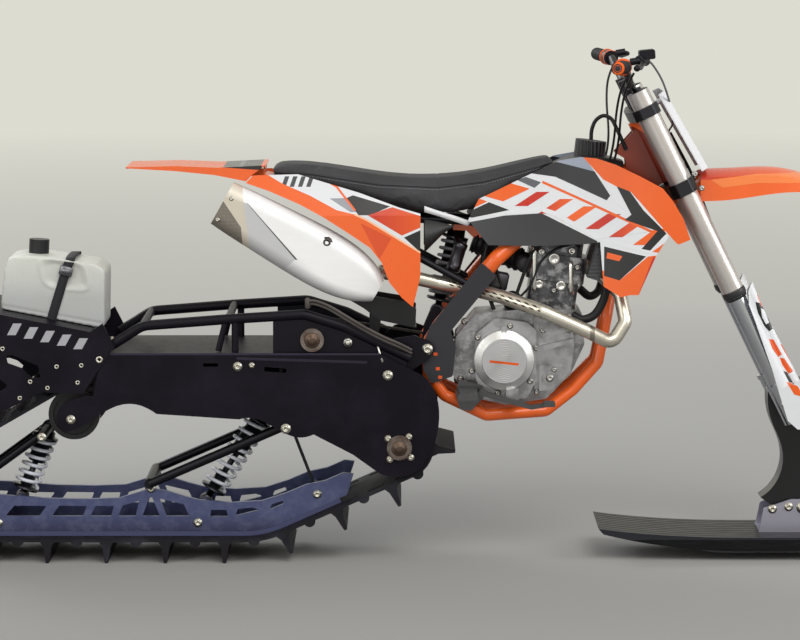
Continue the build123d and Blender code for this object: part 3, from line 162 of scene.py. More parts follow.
def tube(path, radius, sides=12):
    """A round section carried along a path, with its frame kept square to Y; radius may vary."""
    path = np.asarray(path, float)
    along = np.gradient(path, axis=0)
    along = along / np.linalg.norm(along, axis=1)[:, None]
    u = np.cross(np.broadcast_to((0, 1, 0), along.shape), along)
    u = u / np.maximum(np.linalg.norm(u, axis=1), 1e-9)[:, None]
    v = np.cross(along, u)
    angle = np.arange(sides) * 2 * pi / sides
    radius = np.broadcast_to(np.asarray(radius, float), (len(path),))[:, None, None]
    ring = u[:, None, :] * np.cos(angle)[None, :, None] + v[:, None, :] * np.sin(angle)[None, :, None]
    return (path[:, None, :] + radius * ring).reshape(-1, 3), capped(len(path), sides)


def helix(start, end, radius, wire, turns, per_turn=20, sides=8):
    """A coil of wire wound about the line from start to end."""
    start, end = np.asarray(start, float), np.asarray(end, float)
    u, v, _ = facing(end - start, (0, 1, 0))
    t = np.linspace(0, 1, int(turns * per_turn) + 1)
    angle = t[:, None] * turns * 2 * pi
    path = start + (end - start) * t[:, None] + radius * (u * np.cos(angle) + v * np.sin(angle))
    along = (end - start) / (turns * 2 * pi) + radius * (v * np.cos(angle) - u * np.sin(angle))
    along = along / np.linalg.norm(along, axis=1)[:, None]
    out = u * np.cos(angle) + v * np.sin(angle)
    up = np.cross(along, out)
    a = np.arange(sides) * 2 * pi / sides
    ring = out[:, None] * np.cos(a)[None, :, None] + up[:, None] * np.sin(a)[None, :, None]
    return (path[:, None] + wire * ring).reshape(-1, 3), capped(len(t), sides)


def joined(*shapes):
    """Several shapes as one."""
    points, faces, base = [], [], 0
    for p, f in shapes:
        points.append(np.asarray(p, float).reshape(-1, 3))
        faces += [[v + base for v in face] for face in f]
        base += len(points[-1])
    return np.vstack(points), faces


def outward(points, faces):
    """The same closed shape with every face turned outwards: its volume, as a sum of fans, is above 0."""
    fans = np.array([(face[0], face[k], face[k + 1]) for face in faces for k in range(1, len(face) - 1)])
    a, b, c = points[fans].transpose(1, 0, 2)
    return points, (faces if (a * np.cross(b, c)).sum() > 0 else [face[::-1] for face in faces])


def bent_plate(upper, lower, sides, thick=0.003, columns=24):
    """A thin plate between two lines of (x, z) points in millimetres, with its y given along them."""
    xs = np.linspace(0, 1, columns)
    knots = np.linspace(0, 1, len(upper))
    top = np.array([np.interp(xs, knots, [p[k] for p in upper]) for k in (0, 1)]) / 1000
    low = np.array([np.interp(xs, knots, [p[k] for p in lower]) for k in (0, 1)]) / 1000
    y = np.interp(xs, knots, sides) / 1000
    inner = y - np.sign(y) * thick
    loop = [np.column_stack([top[0], y, top[1]]), np.column_stack([low[0], y, low[1]]),
            np.column_stack([low[0], inner, low[1]]), np.column_stack([top[0], inner, top[1]])]
    points = np.stack(loop, 1).reshape(-1, 3)
    return outward(points, capped(columns, 4))


def band(path, width, thick):
    """A flat strap along a path: a thin oblong section whose width lies near X, square to the path."""
    along = np.gradient(path, axis=0)
    along = along / np.linalg.norm(along, axis=1)[:, None]
    wide = np.array([1.0, 0, 0]) - along * along[:, :1]
    wide = wide / np.linalg.norm(wide, axis=1)[:, None]
    out = np.cross(along, wide)
    corners = [(-0.5, -0.5), (-0.5, 0.5), (0.5, 0.5), (0.5, -0.5)]
    points = np.stack([path + wide * (u * width) + out * (v * thick) for u, v in corners], 1).reshape(-1, 3)
    return outward(points, capped(len(path), 4))


def block(size, edge):
    """A box with every edge cut at a slant.

    Its points are the eight corners, three times over: each time they are drawn in from the
    edges on two axes and stay out on the third, so the k-th set holds the two faces across axis k.
    """
    half = np.array(size) / 2
    corner = np.array([(x, y, z) for x in (-1, 1) for y in (-1, 1) for z in (-1, 1)])
    points = np.vstack([corner * np.where(np.arange(3) == axis, half, half - edge) for axis in range(3)])

    def at(axis, signs):
        """The number of the point of one set that stands in the corner with these signs."""
        return 8 * axis + int(np.dot(np.array(signs) > 0, (4, 2, 1)))

    loops = [[k, k + 8, k + 16] for k in range(8)]
    for axis in range(3):
        a, b = [k for k in range(3) if k != axis]
        for sign in (-1, 1):
            signs, loop = np.full(3, sign), []
            for u, v in ((-1, -1), (1, -1), (1, 1), (-1, 1)):
                signs[[a, b]] = u, v
                loop.append(at(axis, signs))
            loops.append(loop)
        for u in (-1, 1):
            for v in (-1, 1):
                near, far = np.zeros(3, int), np.zeros(3, int)
                near[[axis, a, b]], far[[axis, a, b]] = (-1, u, v), (1, u, v)
                loops.append([at(a, near), at(a, far), at(b, far), at(b, near)])
    faces = []
    for loop in loops:
        p = points[loop]
        out = np.cross(p[1] - p[0], p[2] - p[0]) @ p.mean(0) > 0
        faces.append(loop if out else loop[::-1])
    return points, faces


def settled(context, piece):
    """The piece's mesh as its modifiers leave it."""
    context.view_layer.update()
    return bpy.data.meshes.new_from_object(piece.evaluated_get(context.evaluated_depsgraph_get()))


def remeshed(context, name, node, voxel, smoothing=0):
    """A new piece with a node's shape, as an even closed skin of small squares, softened if asked."""
    shell = bmesh.new()
    shell.from_mesh(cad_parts[node].data)
    bmesh.ops.remove_doubles(shell, verts=shell.verts, dist=1e-5)
    bmesh.ops.recalc_face_normals(shell, faces=shell.faces)
    mesh = bpy.data.meshes.new(name)
    shell.to_mesh(mesh)
    shell.free()
    piece = bpy.data.objects.new(name, mesh)
    context.scene.collection.objects.link(piece)
    skin = piece.modifiers.new("skin", "REMESH")
    skin.mode = "VOXEL"
    skin.voxel_size = voxel
    if smoothing:
        even = piece.modifiers.new("even", "SMOOTH")
        even.iterations = smoothing
    piece.data = settled(context, piece)
    piece.modifiers.clear()
    piece.data.shade_smooth()
    piece.data.materials.clear()
    return piece


def bolts(spots):
    """Socket-headed bolts with washers: each spot is x, y, z, head radius and height in millimetres."""
    shape = turned([(1.5, -0.3), (1.5, 0.2), (1.05, 0.25), (1.0, 0.9), (0.86, 1.05), (0.52, 1.05), (0.48, 0.5)], 10)
    copies = []
    for x, y, z, radius, height in spots:
        axes = facing((0, 1 if y > 0 else -1, 0))
        scale = np.array([radius, radius, height])[:, None] / 1000
        copies.append((np.array([x, y, z]) / 1000, axes * scale))
    return many(*shape, copies)


def both(spots):
    """Spots on the right and their like on the left."""
    return [(x, side * y, z, r, h) for x, y, z, r, h in spots for side in (1, -1)]


def smooth_route(points):
    """The line of a smooth NURBS spline of order 3 with these control points, as the spline itself gives it."""
    curve = bpy.data.curves.new("route", "CURVE")
    curve.dimensions = "3D"
    curve.resolution_u = 12
    spline = curve.splines.new("NURBS")
    spline.points.add(len(points) - 1)
    for knot, point in zip(spline.points, points):
        knot.co = (*point, 1)
    spline.order_u = 3
    spline.use_endpoint_u = True
    holder = bpy.data.objects.new("route", curve)
    line = bpy.data.meshes.new_from_object(holder)
    path = np.array([v.co for v in line.vertices])
    bpy.data.objects.remove(holder)
    bpy.data.meshes.remove(line)
    return path


# ---------------------------------------------------------------- shader expressions
# A Mix node has sockets for numbers and vectors between its factor and its two colours, and its
# colour is its third output.
MIX_SKIPPED, MIX_COLOUR = (None,) * 5, 2


class Wire:
    """A socket of a finish; arithmetic on it adds Math nodes."""

    def __init__(self, finish, socket):
        self.finish, self.socket = finish, socket

    def math(self, operation, *others):
        """A Math node fed by this socket and others."""
        return self.finish.node("ShaderNodeMath", {"operation": operation}, self, *others)

    def __add__(self, other): return self.math("ADD", other)
    def __sub__(self, other): return self.math("SUBTRACT", other)
    def __mul__(self, other): return self.math("MULTIPLY", other)
    def __truediv__(self, other): return self.math("DIVIDE", other)
    def __pow__(self, other): return self.math("POWER", other)
    def __gt__(self, other): return self.math("GREATER_THAN", other)
    def __lt__(self, other): return self.math("LESS_THAN", other)
    def __mod__(self, other): return self.math("FLOORED_MODULO", other)
    def __abs__(self): return self.math("ABSOLUTE")
    def __or__(self, other): return self.math("MAXIMUM", other)
    __radd__, __rmul__, __ror__ = __add__, __mul__, __or__

    def __rsub__(self, other):
        return self * -1.0 + other


class Finish:
    """A material being made: one shader, and nodes added by a single method."""

    def __init__(self, name, colour, roughness=0.5, metallic=0.0, coat=0.0, coat_roughness=0.1, shine=0.5):
        self.material = bpy.data.materials.new(name)
        self.material.use_nodes = True
        self.tree = self.material.node_tree
        self.shader = self.tree.nodes["Principled BSDF"]
        self.place = self.node("ShaderNodeTexCoord", {}, out="Object")
        self.set("Base Color", (*colour, 1))
        self.set("Roughness", roughness)
        self.set("Metallic", metallic)
        self.set("Coat Weight", coat)
        self.shader.inputs["Coat Roughness"].default_value = coat_roughness
        self.shader.inputs["Specular IOR Level"].default_value = shine
        self.material.diffuse_color = (*colour, 1)

    def node(self, kind, settings, *values, out=0, **named):
        """Any node: its type, the settings made first, then the values or links of its sockets by place or name."""
        node = self.tree.nodes.new(kind)
        for key, value in settings.items():
            if key == "stops":
                ramp = node.color_ramp
                while len(ramp.elements) < len(value):
                    ramp.elements.new(0.5)
                for element, (at, colour) in zip(ramp.elements, value):
                    element.position = at
                    element.color = colour
            else:
                setattr(node, key, value)
        pairs = list(enumerate(values)) + [(key.replace("_", " "), value) for key, value in named.items()]
        for key, value in pairs:
            self.feed(node.inputs[key], value)
        return Wire(self, node.outputs[out])

    def feed(self, socket, value):
        """A link or a value into a socket; None leaves it as it is."""
        if isinstance(value, Wire):
            self.tree.links.new(value.socket, socket)
        elif value is not None:
            socket.default_value = value

    def set(self, socket, value):
        """A link or a value into a socket of the shader."""
        self.feed(self.shader.inputs[socket], value)

    def mix(self, low, high, factor):
        """A colour between two, by a factor."""
        low, high = ((*colour, 1) if isinstance(colour, tuple) else colour for colour in (low, high))
        return self.node("ShaderNodeMix", {"data_type": "RGBA"}, factor, *MIX_SKIPPED, low, high, out=MIX_COLOUR)

    def noise(self, scale, detail=3.0, roughness=0.55, place=None):
        """Cloudy noise from 0 to 1, in the object's own space unless another place is given."""
        return self.node("ShaderNodeTexNoise", {}, Vector=place or self.place, Scale=scale, Detail=detail,
                         Roughness=roughness, out="Fac")

    def cells(self, scale):
        """Distance to the nearest of many scattered points, for a grain of small cells."""
        return self.node("ShaderNodeTexVoronoi", {}, Vector=self.place, Scale=scale, out="Distance")

    def ramp(self, value, *stops):
        """A value run through straight pieces: stops are (where, level)."""
        stops = [(at, (level, level, level, 1)) for at, level in stops]
        return self.node("ShaderNodeValToRGB", {"stops": stops}, value)

    def axes(self):
        """The place on the model as X, Y and Z."""
        parts = self.node("ShaderNodeSeparateXYZ", {}, self.place).socket.node
        return [Wire(self, output) for output in parts.outputs]

    def profile(self, x, points):
        """A height that follows straight pieces through (x, z) points, as a function of x."""
        xs, zs = [p[0] for p in points], [p[1] for p in points]
        low, high = min(zs), max(zs)
        stops = [((px - xs[0]) / (xs[-1] - xs[0]), (pz - low) / (high - low)) for px, pz in points]
        return self.ramp((x - xs[0]) * (1 / (xs[-1] - xs[0])), *stops) * (high - low) + low

    def beyond(self, a, b):
        """1 on the left of the line from a to b in the plane of X and Z, in millimetres."""
        nx, nz = -(b[1] - a[1]), b[0] - a[0]
        dot = self.node("ShaderNodeVectorMath", {"operation": "DOT_PRODUCT"}, self.place, (nx, 0, nz), out="Value")
        return dot > (nx * a[0] + nz * a[1]) / 1000

    def patch(self, points):
        """1 inside an outline of (x, z) points in millimetres.

        A convex outline is the product of its edges' inner sides. Any other counts the edges that a
        level line from the point crosses on its right: an odd number is inside.
        """
        edges = list(zip(points, points[1:] + points[:1]))
        area = sum(a[0] * b[1] - b[0] * a[1] for a, b in edges)
        if area < 0:
            return self.patch(points[::-1])
        bends = [(b[0] - a[0]) * (c[1] - b[1]) - (b[1] - a[1]) * (c[0] - b[0])
                 for (a, b), (_, c) in zip(edges, edges[1:] + edges[:1])]
        inside = None
        if min(bends) >= 0:
            for a, b in edges:
                side = self.beyond(a, b)
                inside = side if inside is None else inside * side
            return inside
        _, _, z = self.axes()
        for a, b in edges:
            if a[1] == b[1]:
                continue
            low, high = (a, b) if a[1] < b[1] else (b, a)
            crossed = (z > low[1] / 1000) * (z < high[1] / 1000) * self.beyond(low, high)
            inside = crossed if inside is None else inside + crossed
        return inside % 2.0

    def bump(self, height, depth, after=None):
        """Relief of a depth in metres from a height of 0 to 1, on top of an earlier relief if one is given."""
        normal = self.node("ShaderNodeBump", {}, Height=height, Distance=depth, Strength=1.0, Normal=after)
        self.set("Normal", normal)
        return normal

    def looked_at(self):
        """1 for a ray that comes from the camera, off a gloss or through a glass."""
        ray = self.node("ShaderNodeLightPath", {}).socket.node
        camera, gloss, glass = (Wire(self, ray.outputs[f"Is {kind} Ray"])
                                for kind in ("Camera", "Glossy", "Transmission"))
        return camera | gloss | glass


class Sky(Finish):
    """The world's nodes, added by the same method."""

    def __init__(self, world):
        world.use_nodes = True
        self.tree = world.node_tree


def srgb(red, green, blue):
    """A linear colour from the usual 0 to 255 levels."""
    return tuple(((c / 255 + 0.055) / 1.055) ** 2.4 if c > 10 else c / 255 / 12.92 for c in (red, green, blue))


# ---------------------------------------------------------------- settings
class BikeColours(bpy.types.PropertyGroup):
    """Colours that an owner would change."""
    plastic: bpy.props.FloatVectorProperty(name="Plastic", description="Main colour of the bodywork", subtype="COLOR",
                                           default=srgb(236, 98, 28), min=0, max=1)
    frame_paint: bpy.props.FloatVectorProperty(name="Frame paint", description="Colour of the frame's tubes",
                                               subtype="COLOR", default=srgb(232, 96, 24), min=0, max=1)
    kit_paint: bpy.props.FloatVectorProperty(name="Kit paint", description="Colour of the track kit", subtype="COLOR",
                                             default=srgb(15, 12, 21), min=0, max=1)
    rail: bpy.props.FloatVectorProperty(name="Rails", description="Colour of the track's rails", subtype="COLOR",
                                        default=srgb(78, 84, 120), min=0, max=1)


class BikeSizes(bpy.types.PropertyGroup):
    """Sizes that an owner would change."""
    camera_distance: bpy.props.FloatProperty(name="Camera distance", description="From the middle of the bike",
                                             default=8.0, unit="LENGTH")
    camera_rise: bpy.props.FloatProperty(name="Camera rise", description="Angle of the camera above level",
                                         default=radians(7.5), subtype="ANGLE")
    seat_swell: bpy.props.FloatProperty(name="Seat swell", description="Farthest that the seat's cover may swell",
                                        default=0.008, unit="LENGTH")


# ---------------------------------------------------------------- finishes
# The colour of the painted glints on cast alloy.
GLINT_GREY = (0.66, 0.66, 0.68)


def worn(finish, colour, dark=0.75, scale=9.0, amount=0.35):
    """Slow unevenness of a colour, from grime and fading."""
    shade = finish.ramp(finish.noise(scale, 5), (0.35, 0.0), (0.75, 1.0))
    low = tuple(c * dark for c in colour)
    return finish.mix(colour, low, shade * amount)


def painted(name, colour, roughness=0.32, coat=0.35, speckle=0.0002, shine=0.5):
    """Sprayed paint over steel, with orange peel and a little grime."""
    finish = Finish(name, colour, roughness, 0.0, coat, 0.12, shine)
    finish.set("Base Color", worn(finish, colour))
    finish.set("Roughness", finish.noise(40, 3) * 0.16 + roughness - 0.08)
    finish.bump(finish.noise(260, 2), speckle)
    return finish.material


def moulded(name, colour, roughness=0.38, coat=0.15, grain=0.00012, shine=0.5):
    """Moulded plastic with a fine grain."""
    finish = Finish(name, colour, roughness, 0.0, coat, 0.2, shine)
    finish.set("Base Color", worn(finish, colour, 0.82, 6, 0.3))
    finish.set("Roughness", finish.noise(25, 4) * 0.2 + roughness - 0.1)
    finish.bump(finish.cells(900), grain)
    return finish.material


def cast(name, colour, roughness=0.42, metallic=0.9, grain=0.0004, glints=0.0, oil=0.5):
    """Light alloy as it comes from the mould, with oily stains and painted glints: bright patches that stand in for
    highlights.
    """
    finish = Finish(name, colour, roughness, metallic)
    stain = finish.ramp(finish.noise(22, 6), (0.42, 0.0), (0.62, 1.0))
    tone = finish.mix(colour, tuple(c * 0.35 for c in colour), stain * oil)
    patches = finish.noise(34, 5, 0.65)
    # Painted glints: bright patches in the colour stand in for highlights; the same patches are raised in relief.
    glint = finish.ramp(patches, (0.5, 0.0), (0.66, 1.0))
    finish.set("Base Color", finish.mix(tone, GLINT_GREY, glint * glints))
    finish.set("Roughness", finish.noise(60, 4) * 0.3 + roughness - 0.12)
    finish.bump(finish.noise(420, 3), grain, after=finish.bump(patches, 0.004 * glints))
    return finish.material


def machined(name, colour, roughness=0.28, metallic=1.0):
    """Metal with fine tool or brush lines along two axes."""
    finish = Finish(name, colour, roughness, metallic)
    place = finish.node("ShaderNodeMapping", {}, finish.place, Scale=(1, 1, 30))
    lines = finish.noise(40, 4, 0.6, place)
    finish.set("Base Color", finish.mix(colour, tuple(c * 0.7 for c in colour), lines * 0.5))
    finish.set("Roughness", lines * 0.18 + roughness - 0.06)
    finish.bump(lines, 0.00008)
    return finish.material


def rubbery(name, colour, roughness=0.72):
    """Moulded rubber, with patches of dust."""
    finish = Finish(name, colour, roughness, shine=0.25)
    dust = finish.ramp(finish.noise(14, 6), (0.4, 0.0), (0.8, 1.0))
    finish.set("Base Color", finish.mix(colour, tuple(c * 1.9 + 0.01 for c in colour), dust * 0.4))
    finish.set("Roughness", finish.noise(80, 3) * 0.2 + roughness - 0.1)
    finish.bump(finish.noise(300, 3), 0.0003)
    return finish.material


def woven(name, colour, pitch=700.0):
    """Webbing: ribs across the strap."""
    finish = Finish(name, colour, 0.8)
    x, y, z = finish.axes()
    weave = ((x + z) * pitch).math("SINE") * (y * pitch).math("SINE")
    finish.set("Base Color", finish.mix(colour, tuple(c * 2.2 + 0.01 for c in colour), weave * 0.3 + 0.3))
    finish.bump(weave, 0.0003)
    return finish.material


def decorated(name, base, layers, roughness=0.3, coat=0.25, dull=(), relief=(), shine=0.4):
    """Bodywork: a base colour under film graphics, each an outline in the plane of X and Z.

    A layer is a colour or a pair of colours that run from the outline's left to its right, and
    its outline. Dull outlines are rougher, and relief holds (outline, depth) of low steps.
    """
    finish = Finish(name, base, roughness, 0.0, coat, 0.15, shine)
    colour = worn(finish, base, 0.84, 7, 0.25)
    x, _, _ = finish.axes()
    film = None
    for tint, shape in layers:
        inside = finish.patch(shape)
        if isinstance(tint[0], tuple):
            low, high = min(p[0] for p in shape) / 1000, max(p[0] for p in shape) / 1000
            run = finish.ramp((x - low) * (1 / (high - low)), (0.0, 0.0), (1.0, 1.0))
            tint = finish.mix(tint[0], tint[1], run)
        colour = finish.mix(colour, tint, inside)
        film = inside if film is None else film | inside
    finish.set("Base Color", colour)
    scuff = finish.ramp(finish.noise(55, 6, 0.7), (0.5, 0.0), (0.75, 1.0))
    rough = finish.noise(25, 4) * 0.16 + roughness - 0.08 + scuff * 0.1
    for shape in dull:
        rough = rough + finish.patch(shape) * 0.25
    finish.set("Roughness", rough)
    normal = finish.bump(finish.cells(900), 0.0001)
    if film is not None:
        normal = finish.bump(film, 0.00025, after=normal)
    for shape, depth in relief:
        normal = finish.bump(finish.patch(shape), depth, after=normal)
    return finish.material


def bars(start, step, count, lean, low, high, wide):
    """Slanted plain bars in a row between two heights that run along the row."""
    shapes = []
    for k in range(count):
        x = start + step * k
        bottom = low[0] + (low[1] - low[0]) * k / max(count - 1, 1)
        top = high[0] + (high[1] - high[0]) * k / max(count - 1, 1)
        shapes.append([(x, bottom), (x + wide, bottom), (x + wide + lean, top), (x + lean, top)])
    return shapes


def kit_plate(name, paint):
    """Matt paint of the track kit: the finish, its dusty colour so far and the relief of the spray."""
    finish = Finish(name, paint, 0.42, shine=0.12)
    dust = finish.ramp(finish.noise(9, 6), (0.4, 0.0), (0.75, 1.0))
    finish.set("Roughness", finish.noise(30, 4) * 0.2 + 0.3)
    return finish, finish.mix(paint, srgb(36, 32, 42), dust * 0.5), finish.bump(finish.noise(260, 2), 0.0003)


def dress(finish, *nodes):
    """Give nodes of the model a finish."""
    for node in nodes:
        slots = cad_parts[node].data.materials
        slots.clear()
        slots.append(finish)


ORANGE, DEEP_ORANGE, RED = srgb(236, 98, 28), srgb(214, 74, 20), srgb(196, 44, 26)
WHITE, BLACK, GREY = srgb(224, 225, 226), srgb(22, 22, 25), srgb(92, 94, 98)
SLANT = srgb(226, 88, 30)
PLATE_FACE = [(560, 1220), (700, 1220), (700, 1010), (560, 1010)]


# ---------------------------------------------------------------- stage
MIDDLE = np.array([-0.096, 0.0, 0.614])  # the camera looks at it
VIEW_WIDTH, SENSOR = 2.08, 36            # width of the view at the middle in metres, of the sensor in millimetres
AIM = np.array([0, 0, 0.6])              # the lamps look at it

# The floor is a sheet that runs back, bends up and ends as a wall. Its lengths are in metres. The
# level part and the bend take these shares of its run, and the wall would rise so far in a whole run.
SHEET_ACROSS, SHEET_ALONG = 41, 61
SHEET_HALF_WIDTH, SHEET_NEAR, SHEET_LEVEL, SHEET_BEND = 30, -30, 46, 4
LEVEL_SHARE, BEND_SHARE, WALL_RISE = 0.8, 0.18, 400

# Each lamp's name, place, size, power and tint.
LAMPS = (
    ("key", (1.5, -4.5, 5.0), 3.5, 190, (1, 0.98, 0.95)),
    ("low", (-0.8, -4.5, 1.1), 2.5, 14, (1, 1, 1)),
    ("front", (4.5, -1.5, 2.6), 2.5, 80, (0.95, 0.97, 1)),
    ("back", (-3.5, 3.5, 4.0), 3.0, 120, (0.95, 0.97, 1)),
    ("side", (-4.0, -3.5, 2.4), 2.5, 70, (1, 1, 1)),
)


def sheet_points():
    """The floor's points: level in front, then a quarter circle, then an upright wall."""
    u, v = np.meshgrid(np.linspace(-1, 1, SHEET_ACROSS), np.linspace(0, 1, SHEET_ALONG), indexing="ij")
    bend = np.clip((v - LEVEL_SHARE) / BEND_SHARE, 0, 1) * pi / 2
    wall = np.clip(v - LEVEL_SHARE - BEND_SHARE, 0, 1) * WALL_RISE
    y = SHEET_NEAR + np.minimum(v, LEVEL_SHARE) / LEVEL_SHARE * SHEET_LEVEL + np.sin(bend) * SHEET_BEND
    z = (1 - np.cos(bend)) * SHEET_BEND + wall
    return np.stack([u * SHEET_HALF_WIDTH, y, z], -1).reshape(-1, 3)


def floor_finish():
    """A grey floor that turns into a lit backdrop farther out, for the rays that look at it."""
    finish = Finish("floor", (0.4, 0.39, 0.375), 0.85, shine=0.2)
    x, y, _ = finish.axes()
    near = finish.ramp((y + 1.2) * 0.2, (0.0, 0.0), (1.0, 1.0))
    finish.set("Base Color", finish.mix(srgb(150, 149, 145), srgb(196, 195, 190), near))
    reach = (x ** 2 + y ** 2).math("SQRT")
    depth = finish.ramp((reach - 1.7) * 0.28, (0.0, 0.0), (1.0, 1.0))
    run = finish.ramp((reach - 2.0) / 14.0, (0.0, 0.0), (0.21, 0.26), (0.42, 0.42), (0.79, 0.74), (1.0, 0.96))
    wall = finish.mix(srgb(171, 170, 166), srgb(223, 222, 211), run)
    glow = finish.node("ShaderNodeEmission", {}, wall)
    shown = finish.node("ShaderNodeMixShader", {}, finish.looked_at() * depth,
                        Wire(finish, finish.shader.outputs[0]), glow)
    finish.tree.links.new(shown.socket, finish.tree.nodes["Material Output"].inputs["Surface"])
    return finish.material


def room():
    """A world that lights the bike, and shows as haze where it is looked at."""
    world = bpy.data.worlds.new("room")
    sky = Sky(world)
    light = sky.node("ShaderNodeBackground", {}, (0.95, 0.96, 1.0, 1), 0.45)
    haze = sky.node("ShaderNodeBackground", {}, (*srgb(221, 220, 209), 1), 1.0)
    shown = sky.node("ShaderNodeMixShader", {}, sky.looked_at(), light, haze)
    sky.tree.links.new(shown.socket, sky.tree.nodes["World Output"].inputs["Surface"])
    return world


# ---------------------------------------------------------------- operators
class BIKE_OT_stage(bpy.types.Operator):
    """Floor, backdrop, lights and camera"""
    bl_idname = "bike.stage"
    bl_label = "Stage"

    def execute(self, context):
        scene = context.scene
        sizes = scene.bike_sizes
        scene.view_settings.view_transform = "Standard"
        rise = sizes.camera_rise
        lens = bpy.data.cameras.new("view")
        lens.sensor_width = SENSOR
        lens.lens = SENSOR * sizes.camera_distance / VIEW_WIDTH
        camera = bpy.data.objects.new("view", lens)
        camera.location = MIDDLE + np.array([0, -cos(rise), sin(rise)]) * sizes.camera_distance
        camera.rotation_euler = (pi / 2 - rise, 0, 0)
        scene.collection.objects.link(camera)
        scene.camera = camera

        mesh = bpy.data.meshes.new("floor")
        mesh.from_pydata(sheet_points().tolist(), [], quads(SHEET_ACROSS, SHEET_ALONG))
        mesh.shade_smooth()
        mesh.materials.append(floor_finish())
        floor = bpy.data.objects.new("floor", mesh)
        scene.collection.objects.link(floor)

        scene.world = room()
        for name, place, size, power, tint in LAMPS:
            lamp = bpy.data.lights.new(name, "AREA")
            lamp.size, lamp.energy, lamp.color = size, power, tint
            source = bpy.data.objects.new(name, lamp)
            source.location = place
            aim = AIM - np.array(place)
            source.rotation_euler = (atan2(np.hypot(aim[0], aim[1]), -aim[2]), 0, atan2(aim[0], -aim[1]) + pi)
            scene.collection.objects.link(source)
        return {"FINISHED"}


class BIKE_OT_finishes(bpy.types.Operator):
    """Finishes of the plain nodes"""
    bl_idname = "bike.finishes"
    bl_label = "Plain finishes"

    def execute(self, context):
        colours = context.scene.bike_colours
        shadow = (srgb(150, 52, 22), srgb(104, 34, 18))
        dress(decorated("frame_paint", tuple(colours.frame_paint), [
            (shadow, [(440, 1060), (500, 1120), (530, 1104), (600, 985), (566, 950), (486, 1006)]),
        ], 0.32, 0.4), "main_frame")
        dress(painted("kit_paint", tuple(colours.kit_paint), 0.44, 0.0, 0.0003, 0.16), "kit_mount", "tunnel_top",
              "kit_frame")
        dress(machined("dark_steel", srgb(44, 44, 48), 0.42), "subframe", "drive_shafts", "suspension_arms",
              "hand_controls")
        dress(cast("alloy", srgb(160, 160, 163), 0.36, 0.85, 0.0006, 0.5, 0.65), "engine_case")
        dress(cast("head_alloy", srgb(92, 92, 96), 0.32, 0.9, 0.0006, 0.5, 0.8), "cylinder_and_head")
        dress(moulded("black_plastic", srgb(22, 22, 25), 0.45, 0.1, shine=0.35), "fuel_tank", "inner_guard",
              "track_wheels", "fuel_can_cap")
        dress(machined("peg_steel", srgb(96, 96, 98), 0.4), "foot_controls")
        dress(machined("wear_bar", srgb(128, 128, 136), 0.35), "ski_keel")
        dress(machined("saddle_alloy", srgb(186, 184, 200), 0.34, 0.9), "ski_saddle")
        dress(painted("slide", srgb(66, 70, 104), 0.45, 0.05), "slides")
        dress(woven("webbing", srgb(26, 26, 30)), "fuel_can_strap", "limiter_strap")
        dress(rubbery("hose", srgb(24, 24, 26), 0.5), "vent_hose", "brake_hose")
        dress(machined("stanchion", srgb(196, 198, 204), 0.14), "fork_lowers")
        dress(machined("fork_tube", srgb(206, 200, 196), 0.3, 0.75), "fork_uppers")
        dress(machined("clamp", srgb(60, 60, 64), 0.35), "triple_clamps")
        dress(painted("bar", srgb(18, 18, 20), 0.35, 0.1, shine=0.4), "handlebar", "spindle")
        return {"FINISHED"}


def shroud_film(orange):
    """White shrouds with red and orange bars between two bands, a dark scoop and an orange nose."""
    blend = (RED, orange)
    lower_band = [(170, 900), (265, 908), (300, 895), (404, 838), (548, 801), (556, 812), (404, 850),
                  (303, 908), (262, 921), (186, 914)]
    stripes = bars(196, 60, 6, 56, (922, 826), (958, 868), 34)
    return decorated("shroud", WHITE, [
        *(((RED, blend, orange)[k % 3], shape) for k, shape in enumerate(stripes)),
        (WHITE, lower_band),
        (orange, [(24, 912), (103, 942), (127, 934), (59, 901)]),
        (orange, [(117, 948), (187, 980), (235, 966), (167, 934)]),
        (BLACK, [(61, 899), (131, 932), (183, 912), (87, 892)]),
        (GREY, [(203, 988), (225, 996), (264, 982), (247, 968)]),
        (orange, [(268, 986), (548, 862), (545, 856), (266, 980)]),
        (srgb(36, 35, 40), [(237, 1005), (302, 1034), (400, 1010), (439, 950), (430, 938), (300, 996)]),
        # Painted highlight: a pale blue-grey patch where the top of the shroud catches the light.
        (srgb(150, 158, 172), [(302, 1034), (322, 1060), (362, 1062), (400, 1010)]),
        (orange, [(358, 1060), (414, 1056), (460, 1034), (568, 982), (606, 948), (650, 884), (650, 833), (609, 828),
                  (581, 859), (513, 936), (489, 962), (454, 974), (422, 990)]),
        (WHITE, [(422, 990), (454, 974), (490, 903), (452, 934)]),
        (BLACK, [(455, 974), (488, 962), (522, 915), (581, 856), (540, 812), (518, 816), (558, 862), (475, 890),
                 (492, 903)]),
        (orange, [(545, 809), (593, 843), (612, 830), (600, 800)]),
        ((srgb(64, 64, 67), srgb(26, 26, 29)), [(66, 878), (170, 898), (265, 904), (407, 834), (410, 780),
                                                (60, 780)]),
        (orange, [(400, 772), (463, 735), (535, 797), (560, 800), (580, 560), (400, 560)]),
        (BLACK, [(424, 821), (530, 797), (463, 735), (424, 746)]),
        (orange, [(432, 806), (470, 797), (462, 784), (430, 791)]),
        (RED, [(548, 797), (560, 790), (528, 690), (512, 700)]),
    ], relief=[([(268, 986), (548, 862), (404, 838), (300, 895), (265, 908)], 0.0012)])


